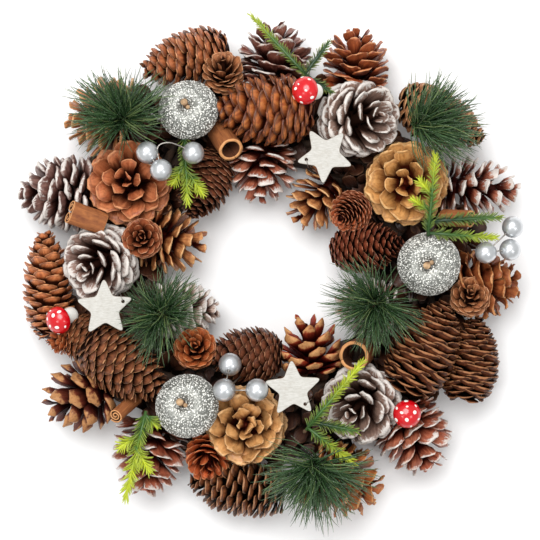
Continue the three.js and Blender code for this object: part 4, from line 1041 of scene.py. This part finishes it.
def star_finish():
    """Whitewashed thin wood with a fine grain, browner at its sawn edge."""
    material, w = new_finish("star_wood")
    stretched = w.node("ShaderNodeMapping", {"Vector": w.where(), "Scale": (240.0, 1700.0, 240.0)})
    lines = w.grain(stretched, 1.0, 4.0, 0.7)
    spots = w.grain(w.where(), 320.0)
    white = w.mixed(w.between(lines, 0.38, 0.62), (178, 175, 167), (200, 198, 192))
    white = w.mixed(w.between(spots, 0.52, 0.7, 0.0, 0.6), white, (176, 171, 161))
    facing_up = w.node("ShaderNodeSeparateXYZ", {0: w.node("ShaderNodeNewGeometry", gives="Normal")}, "Z")
    edge = w.between(w.size_of(facing_up), 0.9, 0.4)
    w.shade(Base_Color=w.mixed(edge * 0.75, white, (142, 116, 88)),
            Roughness=w.between(lines, 0.2, 0.8, 0.65, 0.85),
            Normal=w.bump(lines, 0.0004, 0.8, w.bump(spots, 0.0006, 0.6)))
    return material


def cinnamon_finish():
    """Bark with fine lines along the quill, paler where it is cut and dark inside."""
    material, w = new_finish("cinnamon")
    stretched = w.vector(w.tag("across") * 9, w.tag("along") * 0.12, w.tag("tone") * 31)
    lines = w.grain(stretched, 6.0, 5.0, 0.65)
    patches = w.grain(w.where(), 300.0)
    bark = w.mixed(w.between(lines, 0.32, 0.68), (118, 62, 30), (172, 106, 56))
    bark = w.mixed(w.between(patches, 0.5, 0.75, 0.0, 0.45), bark, (106, 54, 26))
    body = w.mixed(w.tag("face"), bark, w.mixed(lines, (54, 24, 11), (112, 62, 30)))
    w.shade(Base_Color=w.mixed(w.tag("rim"), body, (206, 146, 92)),
            Roughness=w.between(lines, 0.2, 0.8, 0.6, 0.85),
            Normal=w.bump(lines, 0.0004, 0.6, w.bump(patches, 0.0004, 0.4)))
    return material


def bark_finish(name, dark, light, shade=0.4):
    """Rough brown bark, for the vines and for stalks and twigs."""
    material, w = new_finish(name)
    coarse = w.grain(w.where(), 160.0, 4.0)
    fine = w.grain(w.where(), 900.0, 3.0)
    brown = w.mixed(w.between(coarse, 0.3, 0.7), dark, light)
    w.shade(Base_Color=w.mixed(w.between(w.tag("tone"), 0.0, 1.0, 0.0, shade), brown, dark),
            Roughness=w.between(fine, 0.3, 0.7, 0.7, 0.92),
            Normal=w.bump(coarse, 0.0008, 0.6, w.bump(fine, 0.0003, 0.6)))
    return material


# ---- the pieces ----

def share(value, low, high):
    """value's place between low and high, from 0 to 1."""
    return max(0, min(1, (value - low) / (high - low)))


def scale_mesh(claw, widest, blunt, thick, edge, facet, facet_from, swell, cup, bend, spans):
    """One scale: its claw at the origin, its free end at x = 1, its upper side towards +Z."""
    half = 0.5
    rings = []
    tags = {"along": [], "across": [], "face": [], "rim": []}
    for x in SCALE_STEPS:
        if x < widest:
            q = x / widest
            wide = claw + (half - claw) * q * q * (3 - 2 * q)
        else:
            q = (x - widest) / (1 - widest)
            wide = half * max(0.12, 1 - q ** blunt) ** (1 / blunt)
        ending = share(x, THINS_FROM, 1)
        deep = 0.5 * (thick[0] + (thick[1] - thick[0]) * share(x, 0, widest) ** 2)
        deep *= 1 - (1 - edge) * ending ** 2
        above = deep * (1 - 0.4 * facet)
        below = deep * (1 + 0.6 * facet) * (1 - 0.9 * facet * ending)
        swollen = swell * max(0, 1 - ((x - SWELLING_AT) / SWELLING_REACH) ** 2)
        ring = []
        for i in range(2 * spans):
            turn = i / spans * math.pi
            u, side = math.cos(turn), math.sin(turn)
            z = (above if side > 0 else -below) * abs(side) ** SECTION_FULLNESS
            z += cup * (u * wide) ** 2 + bend * x ** 3
            if side < 0:
                z -= swollen * (1 - u * u)
            ring.append((x, u * wide, z))
            border = share(abs(u), *BORDER_ACROSS) * share(x, *BORDER_ALONG)
            under = facet * share(x, facet_from, facet_from + FACET_FADE) * (side < 0.2)
            tags["along"].append(x)
            tags["across"].append(u)
            tags["face"].append(0.5 + 0.5 * max(-1, min(1, 3 * side)))
            tags["rim"].append(max(border, share(x, *BORDER_AT_END), under))
        rings.append(ring)
    return skin_over(rings, tags)


def needle_mesh(thick, bend):
    """A needle along +X, a unit long, three-sided and a little bent."""
    rings, along = [], []
    for x, left in NEEDLE_STEPS:
        rings.append([(x, thick * left * math.cos(a), thick * left * math.sin(a) + bend * x * (1 - x) * 4)
                      for a in spread(3)])
        along += [x] * 3
    return skin_over(rings, {"along": along})


def cone_core(form, length, radius):
    """The woody middle that the scales grow from."""
    outline = []
    for i in range(CORE_STEPS + 1):
        up = i / CORE_STEPS
        steepness = form.steepness[up > form.widest]
        oval = math.sqrt(max(SLIMMEST ** 2, 1 - ((up - form.widest) * steepness) ** 2))
        shut = 1 - form.closing * max(0, (up - CLOSES_FROM) / (1 - CLOSES_FROM)) ** 2
        tip_r = radius * oval * shut
        tip_z = length * (form.lowest + (1 - form.lowest) * up)
        root_r = tip_r * form.core
        lean = form.lean[0] + (form.lean[1] - form.lean[0]) * up
        lean -= form.skirt * max(0, 1 - up / SKIRT_REACH)
        rise = min((tip_r - root_r) * math.tan(math.radians(lean)), tip_z - form.lowest * length)
        outline.append((CORE_FILLS * root_r, tip_z - rise - 0.5 * length))
    outline.sort(key=lambda point: point[1])
    foot = (0, outline[0][1] - 0.01 * length)
    top = (0, outline[-1][1] + 0.02 * length)
    return turned([foot, *outline, top], 20)


def dressed_cones():
    """Every cone of the wreath, the cones of one node together."""
    tree = spiral_of_scales()
    scales = {name: scale_mesh(*shape) for name, shape in SCALES.items()}
    forms = {cone.finish: cone.form for cone in CONES}
    finishes = {name: cone_finish(name, CLEARS.get(form, CLEARS_OPEN), SHEEN.get(form, 1.0))
                for name, form in forms.items()}
    by_node = {}
    for number, cone in enumerate(CONES):
        form = FORMS[cone.form]
        finish = finishes[cone.finish]
        spiral = grown(
            tree, scales[form.scale], Scales=form.scales, Length=cone.length, Radius=cone.radius,
            Core=form.core, Base_lean=math.radians(form.lean[0]), Tip_lean=math.radians(form.lean[1]),
            Skirt=math.radians(form.skirt), Lowest=form.lowest, Widest=form.widest,
            Base_steepness=form.steepness[0], Tip_steepness=form.steepness[1], Closing=form.closing,
            Broad=form.broad, Stray=math.radians(form.stray), Uneven=form.uneven, Seed=10 * number,
            Finish=finish)
        own_roll = 17 * cone.at[0]
        place = placed(seen(*cone.at, cone.z), cone.heading, cone.lift, own_roll)
        core = cone_core(form, cone.length, cone.radius)
        by_node.setdefault(cone.node, []).extend(
            [set_down(spiral, place), set_down(core, place, finish)])
    for node, meshes in by_node.items():
        piece_of(node, meshes)


def dressed_apples(glitter, stub):
    """Glitter apples, each with a stub of twig and a shorter shoot that forks from its side."""
    tree = coat_of_glitter()
    line = curve_through([(r, h, 0) for r, h in APPLE_OUTLINE], 6)
    for number, (node, at, z, heading, lift, radius) in enumerate(APPLES):
        outline = [(p.x * radius, p.y * radius) for p in line]
        outline[0] = (0, outline[0][1])
        outline[-1] = (0, outline[-1][1])
        flesh = grown(tree, turned(outline, 64), Seed=40 + number, Finish=glitter, **GLITTER)
        place = placed(seen(*at, z), heading, lift)
        meshes = [set_down(flesh, place)]
        thick, low, high = (part * radius for part in APPLE_STALK)
        for lean, tall, girth in APPLE_TWIGS:
            path = [Vector((lean * thick * 2 * t, 0.4 * lean * thick * t, low + (high - low) * tall * t))
                    for t, _ in TWIG_STEPS]
            twig = tube(path, [girth * thick * swell for _, swell in TWIG_STEPS], TWIG_SIDES)
            cut_from = TWIG_SIDES * (len(path) - 1)
            tag_points(twig, "tone", [float(i < cut_from) for i in range(len(twig.vertices))])
            meshes.append(set_down(twig, place, stub))
        piece_of(node, meshes)


def rounded(corners, cut):
    """A closed outline with every corner rounded over the share cut of its sides."""
    path = []
    for i, corner in enumerate(corners):
        before = corner.lerp(corners[i - 1], cut[i % len(cut)])
        after = corner.lerp(corners[(i + 1) % len(corners)], cut[i % len(cut)])
        for step in range(7):
            t = step / 6
            path.append(before * (1 - t) ** 2 + corner * 2 * t * (1 - t) + after * t ** 2)
    return path


def flat_plate(outline, hole, thickness, bevel):
    """A plate with softened edges from an outline and a round hole, by way of a flat curve."""
    curve = bpy.data.curves.new("plate", "CURVE")
    curve.dimensions = "2D"
    curve.fill_mode = "BOTH"
    curve.extrude = thickness / 2 - bevel
    curve.bevel_depth = bevel
    curve.bevel_resolution = 2
    curve.offset = -bevel
    for path in (outline, hole):
        spline = curve.splines.new("POLY")
        spline.points.add(len(path) - 1)
        for point, at in zip(spline.points, path):
            point.co = (at.x, at.y, 0, 1)
        spline.use_cyclic_u = True
    holder = in_scene("plate", curve)
    mesh = plain_mesh_of(holder)
    bpy.data.objects.remove(holder)
    face_outwards(mesh, merged=1e-6)
    return mesh


def dressed_stars(wood, wire):
    """Wooden stars, each with a thread of wire through the hole near one of its tips."""
    for node, at, z, point, hole_tip in STARS:
        corners = []
        for angle in spread(5):
            corners.append(polar(STAR["reach"] * STAR_TIP_SHARPENED, angle))
            corners.append(polar(STAR["waist"], angle + math.pi / 5))
        middle = polar(STAR["hole_at"], hole_tip * 2 * math.pi / 5)
        hole = [middle + polar(STAR["hole"], a) for a in spread(16)]
        plate = flat_plate(rounded(corners, STAR_ROUNDING), hole, STAR["thickness"], STAR["bevel"])
        side = Vector((-middle.y, middle.x, 0)).normalized() * STAR["hole"]
        half = STAR["thickness"] / 2
        loop = curve_through([middle + out * side + Vector((0, 0, up * half + more))
                              for out, up, more in STAR_THREAD], 5)
        thread = tube(loop, [THREAD_RADIUS] * len(loop), 6)
        place = placed(seen(*at, z), 0, 90, point)
        piece_of(node, [set_down(plate, place, wood), set_down(thread, place, wire)])


def blade(inner, outer, low, high, half):
    """A thin upright blade along +X."""
    points = [(x, y, z) for x in (inner, outer) for y in (-half, half) for z in (low, high)]
    faces = [(0, 1, 3, 2), (4, 6, 7, 5), (0, 4, 5, 1), (2, 3, 7, 6), (0, 2, 6, 4), (1, 5, 7, 3)]
    return mesh_of(points, faces)


def dressed_toadstools(red, white):
    """Toadstools with gills under the cap and dots of white paint on it."""
    cap, dome, rim = TOADSTOOL["cap"], TOADSTOOL["dome"], TOADSTOOL["rim"]
    stalk, long = TOADSTOOL["stalk"], TOADSTOOL["stalk_length"]
    outline = [(r * cap, h * rim) for r, h in CAP_UNDERSIDE]
    outline += [(cap * math.cos(a), dome * math.sin(a)) for a in spread(48)[:12]]
    cap_mesh = turned([*outline, (0, dome)], 40)
    stalk_mesh = turned([(r * stalk, h * long) for r, h in TOADSTOOL_STALK], 24)
    inner, outer, low, high, half = GILL
    gill = blade(inner * cap, outer * cap, low * rim, high * rim, half)
    gills = [set_down(gill, Matrix.Rotation(a, 4, "Z")) for a in spread(TOADSTOOL["gills"])]
    dot = turned(DOT_OUTLINE, 14)
    for number, (node, at, z, heading, lift) in enumerate(TOADSTOOLS):
        draw = random.Random(90 + number)
        place = placed(seen(*at, z), heading, lift, 40 * number)
        meshes = [set_down(cap_mesh, place, red), set_down(stalk_mesh, place, white)]
        meshes += [set_down(g, place, white) for g in gills]
        spots = [(draw.uniform(*down), a + first + draw.uniform(-stray, stray))
                 for count, first, down, stray in DOT_RINGS for a in spread(count)]
        for down, way in spots:
            point = polar(cap * math.sin(down), way, dome * math.cos(down))
            normal = Vector((point.x / cap ** 2, point.y / cap ** 2, point.z / dome ** 2)).normalized()
            size = draw.uniform(*DOT_RADIUS)
            drop = Matrix.Diagonal((size, size * draw.uniform(*DOT_OVAL), DOT_HEIGHT, 1))
            turn = facing(normal) @ Matrix.Rotation(draw.uniform(0, 3), 4, "Z")
            meshes.append(set_down(dot, place @ Matrix.Translation(point) @ turn @ drop, white))
        piece_of(node, meshes)


def single_roll(radius, turns, wall, gap):
    """The middle line of a strip of bark rolled from one edge, from outside to inside."""
    steps = round(30 * turns)
    shrink = (wall + gap) * (turns > 1)
    line = []
    for i in range(steps + 1):
        done = turns * i / steps
        angle = min(done, turns - SEAM) * 2 * math.pi
        line.append(polar(radius - wall / 2 - ROLL_INSET - shrink * done, angle))
    return line


def double_roll(radius, turns, wall, gap):
    """The middle line of a strip rolled in from both its edges; its flat back is at -X."""
    steps = round(26 * turns)
    side = []
    for i in range(steps + 1):
        done = turns * i / steps
        curl = polar(CURL_SIZE * radius - (wall + gap) * done, math.pi - done * 2 * math.pi)
        side.append(curl + Vector((0, CURLS_APART * radius, 0)))
    return side[::-1] + [Vector((p.x, -p.y, 0)) for p in side]


def dressed_sticks(bark):
    """Quills of rolled bark, rough on their faces and chipped at their ends."""
    rolls = {"single": single_roll, "double": double_roll}
    swells, shifts = STICK_ROUGHNESS
    for number, (node, at, z, heading, lift, length, radius, roll, turns, wall, gap) in enumerate(STICKS):
        line = rolls[roll](radius, turns, wall, gap)
        count = len(line)
        rings = []
        tags = {"along": [], "across": [], "face": [], "rim": [], "tone": []}
        for up in STICK_LEVELS:
            at_end = up in (0, 1)
            left, right = [], []
            for i, point in enumerate(line):
                ahead = (line[min(i + 1, count - 1)] - line[max(i - 1, 0)]).normalized()
                normal = Vector((ahead.y, -ahead.x, 0))
                bump = point * STICK_ROUGH_GRAIN
                rough = noise.noise(Vector((bump.x, bump.y, 3 * up + number)))
                bump = point * STICK_CHIP_GRAIN
                chip = noise.noise(Vector((bump.x, bump.y, 7 * number + 20 * up)))
                height = length * (up - 0.5)
                if at_end:
                    height -= abs(STICK_CHIP * chip) * (1 if up else -1)
                for edge, half in ((left, 0.5), (right, -0.5)):
                    spot = point + normal * (wall * half * (1 + swells * rough) + shifts * rough)
                    edge.append((spot.x, spot.y, height))
            rings.append(left + right[::-1])
            across = [i / 30 for i in range(count)]
            tags["along"] += [up * length / 0.01] * 2 * count
            tags["across"] += across + across[::-1]
            tags["face"] += [0] * count + [1] * count
            tags["rim"] += [float(at_end)] * 2 * count
            tags["tone"] += [number / 5] * 2 * count
        place = placed(seen(*at, z), heading, lift)
        piece_of(node, [set_down(skin_over(rings, tags), place, bark)])


def dressed_pearls(silver, wire):
    """Picks of three silver beads. Each wire enters its bead through a bore with a collar."""
    outline = [(0, -1.0)] + [(math.sin(a), -math.cos(a)) for a in spread(44)[1:21]] + list(BEAD_BORE)
    for node, root, beads, radius in PEARL_PICKS:
        hub = seen(*beads[1])
        ball = turned([(r * radius, h * radius) for r, h in outline], 40)
        collar = turned([(r * radius, h * radius) for r, h in BEAD_COLLAR], 14)
        meshes = []
        for number, bead in enumerate(beads):
            point = seen(*bead)
            start = seen(*root) if number == 1 else hub
            middle = start.lerp(point, 0.5)
            middle.z = max(start.z, point.z) + WIRE_RISE
            bends = [seen(*bend) for bend in ARCHED_WIRES.get((node, number), ())] or [middle]
            path = curve_through([start, *bends, point], 8)
            meshes.append(set_down(tube(path, [WIRE_RADIUS] * len(path)), Matrix(), wire))
            place = Matrix.Translation(point) @ facing(path[-2] - point)
            meshes += [set_down(ball, place, silver), set_down(collar, place, wire)]
        piece_of(node, meshes)


def pile_around(place):
    """All solids but the tufts and the ring, seen from a shoot's own place, for its needles to meet."""
    work = bmesh.new()
    for name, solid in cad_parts.items():
        if not name.startswith(("needle_tuft", "vine")):
            work.from_mesh(solid.data)
    mesh = bpy.data.meshes.new("pile")
    work.to_mesh(mesh)
    work.free()
    mesh.transform(place.inverted())
    return in_scene("pile", mesh)


def dressed_tufts(green, twig):
    """Each tuft is a few shoots from one stem, each with its own fan of needles."""
    tree = burst_of_needles()
    needles = [needle_mesh(TUFT_NEEDLE_THICK, bend) for bend in TUFT_NEEDLE_BENDS]
    for node, at, z, heading, lift, reach, back, sweep, fan_width, seed in TUFTS:
        place = placed(seen(*at, z), heading, lift)
        draw = random.Random(seed)
        start = spin(sweep, "Z") @ Vector((-back, 0, 0))
        meshes = []
        for shoot in range(TUFT_SHOOTS):
            way = sweep + ((shoot + 0.5) / TUFT_SHOOTS * 2 - 1) * fan_width
            way += draw.uniform(-SHOOT_STRAY, SHOOT_STRAY)
            root = start + Vector((0, 0, draw.uniform(*SHOOT_RISE)))
            here = place @ placed(root, way, draw.uniform(*SHOOT_LIFT))
            pile = pile_around(here)
            fan = grown(tree, needles[shoot % 2], Reach=reach * draw.uniform(*SHOOT_REACH), Neighbours=pile,
                        Seed=seed + 31 * shoot, Finish=green, **BURST)
            bpy.data.objects.remove(pile)
            meshes += [set_down(fan, here), set_down(rod(SHOOT_OUTLINE), here, twig)]
        meshes.append(set_down(rod(TUFT_STEM, 10), place, twig))
        piece_of(node, meshes)


def dressed_sprigs(green, twig):
    """Moulded sprigs: fingers with needles to either side, on a bare stalk."""
    tree = needled_finger()
    needle = needle_mesh(SPRIG_NEEDLE_THICK, SPRIG_NEEDLE_BEND)
    for number, (node, reach, fingers, stalk) in enumerate(SPRIGS):
        meshes = []
        for count, (start, end, youth) in enumerate(fingers):
            start, end = seen(*start), seen(*end)
            length = (end - start).length
            fan = grown(
                tree, needle, Needles=round(length / SPRIG_NEEDLE_EVERY), Length=length, Reach=reach,
                Youth=youth, Seed=200 + 10 * number + count, Finish=green, **FINGER)
            core = rod(FINGER_OUTLINE, 8, length)
            tag_points(core, "rank", [v.co.z / length + youth for v in core.vertices])
            place = placed_along(start, end)
            meshes += [set_down(fan, place), set_down(core, place, green)]
        top, bottom = (seen(*point) for point in stalk)
        bare = tube([top, top.lerp(bottom, 0.5), bottom], SPRIG_STALK_RADII)
        piece_of(node, [*meshes, set_down(bare, Matrix(), twig)])


def dressed_ring(vine, shade_dark_mulch):
    """The ring of wound vines, and the loose scales, dark as painted shade, that lie on it and in the gaps.
    """
    radius, half_width, thick = RING["radius"], RING["half_width"], RING["vine"]
    strands = grown(
        wound_vines(), None, Vines=RING["vines"], Radius=radius, Half_width=half_width - thick,
        Half_height=RING["half_height"] - thick, Middle=RING["middle"], Thick=thick, Winds=2, Steps=160,
        Seed=5, Finish=vine)
    top = RING["middle"] + RING["half_height"] - thick
    count = 72
    bed = mesh_of(
        [polar(radius + out * half_width, a, top) for out in BED_EDGES for a in spread(count)],
        [(i, count + i, count + (i + 1) % count, (i + 1) % count) for i in range(count)])
    patches = mesh_of(
        [seen(*at, z) + polar(GAP_RADIUS, a) for at, z in GAPS for a in spread(12)],
        [tuple(range(12 * i, 12 * i + 12)) for i in range(len(GAPS))])
    loose = in_scene("loose scale", scale_mesh(*SCALES["plate"]))
    tree = strewn_scales()
    meshes = [strands]
    for ground, density in ((bed, BED_DENSITY), (patches, GAP_DENSITY)):
        meshes.append(grown(tree, ground, Scale=loose, Density=density, Seed=8, Finish=shade_dark_mulch, **LOOSE))
    bpy.data.objects.remove(loose)
    piece_of("vine_ring", meshes)


def dress_wreath():
    """Every piece of the wreath, in its finish."""
    wire = even_finish("silver_wire", 900.0, (120, 112, 104), (190, 186, 180), None, 0.35, Metallic=0.9)
    red = even_finish("toadstool_red", 260.0, (182, 2, 14), (210, 6, 24), (900.0, 0.0002, 0.3),
                      (0.16, 0.28), Coat_Weight=0.4, Coat_Roughness=0.08)
    white = even_finish("toadstool_white", 500.0, (224, 220, 210), (246, 244, 240), (500.0, 0.0003, 0.5),
                        0.6)
    pearl = even_finish("pearl_silver", 300.0, (192, 195, 197), (212, 214, 216), (2200.0, 0.00005, 0.5),
                        (0.3, 0.38), Metallic=0.75, Coat_Weight=0.4, Coat_Roughness=0.08)
    twig = bark_finish("twig", (58, 42, 26), (104, 78, 50))
    stub = bark_finish("stub", (92, 60, 36), (216, 180, 138), 0.9)
    dressed_cones()
    dressed_apples(glitter_finish(), stub)
    dressed_stars(star_finish(), wire)
    dressed_toadstools(red, white)
    dressed_sticks(cinnamon_finish())
    dressed_pearls(pearl, wire)
    dressed_tufts(needle_finish(), twig)
    dressed_sprigs(sprig_finish(), twig)
    dressed_ring(bark_finish("vine", (30, 20, 14), (78, 54, 36)), cone_finish("shade_dark_mulch"))


# ---- the studio ----

def lay_floor():
    """A plain pale floor at z = 0."""
    half = FLOOR_WIDTH / 2
    floor = in_scene("floor", mesh_of(
        [(-half, -half, 0), (half, -half, 0), (half, half, 0), (-half, half, 0)], [(0, 1, 2, 3)]))
    material, w = new_finish("pale_floor")
    w.shade(Base_Color=(0.95, 0.95, 0.95, 1), Roughness=0.9)
    floor.data.materials.append(material)


def hang_softbox(name, at, size, watts):
    """A round soft light that faces the wreath."""
    light = bpy.data.lights.new(name, "AREA")
    light.shape = "DISK"
    light.size = size
    light.energy = watts
    lamp = in_scene(name, light)
    lamp.location = at
    lamp.rotation_euler = (Vector(LIT_POINT) - Vector(at)).to_track_quat("-Z", "Y").to_euler()


def light_studio():
    """An even white surround and the softboxes."""
    world = bpy.data.worlds.new("studio")
    world.use_nodes = True
    surround = world.node_tree.nodes["Background"]
    surround.inputs["Color"].default_value = (1, 1, 1, 1)
    surround.inputs["Strength"].default_value = SURROUND_STRENGTH
    bpy.context.scene.world = world
    for softbox in SOFTBOXES:
        hang_softbox(*softbox)
    bpy.context.scene.view_settings.view_transform = "Standard"


def set_camera():
    """Looks straight down, as the photograph does."""
    camera = in_scene("camera", bpy.data.cameras.new("camera"))
    camera.location = seen(PHOTO_WIDTH_PX / 2, PHOTO_WIDTH_PX / 2, SCALE_PLANE)
    camera.location.z = CAMERA_HEIGHT
    view_width = PHOTO_WIDTH_PX * METRES_PER_PX
    camera.data.sensor_width = SENSOR_MM
    camera.data.lens = SENSOR_MM * (CAMERA_HEIGHT - SCALE_PLANE) / view_width
    bpy.context.scene.camera = camera


set_camera()
lay_floor()
light_studio()
dress_wreath()
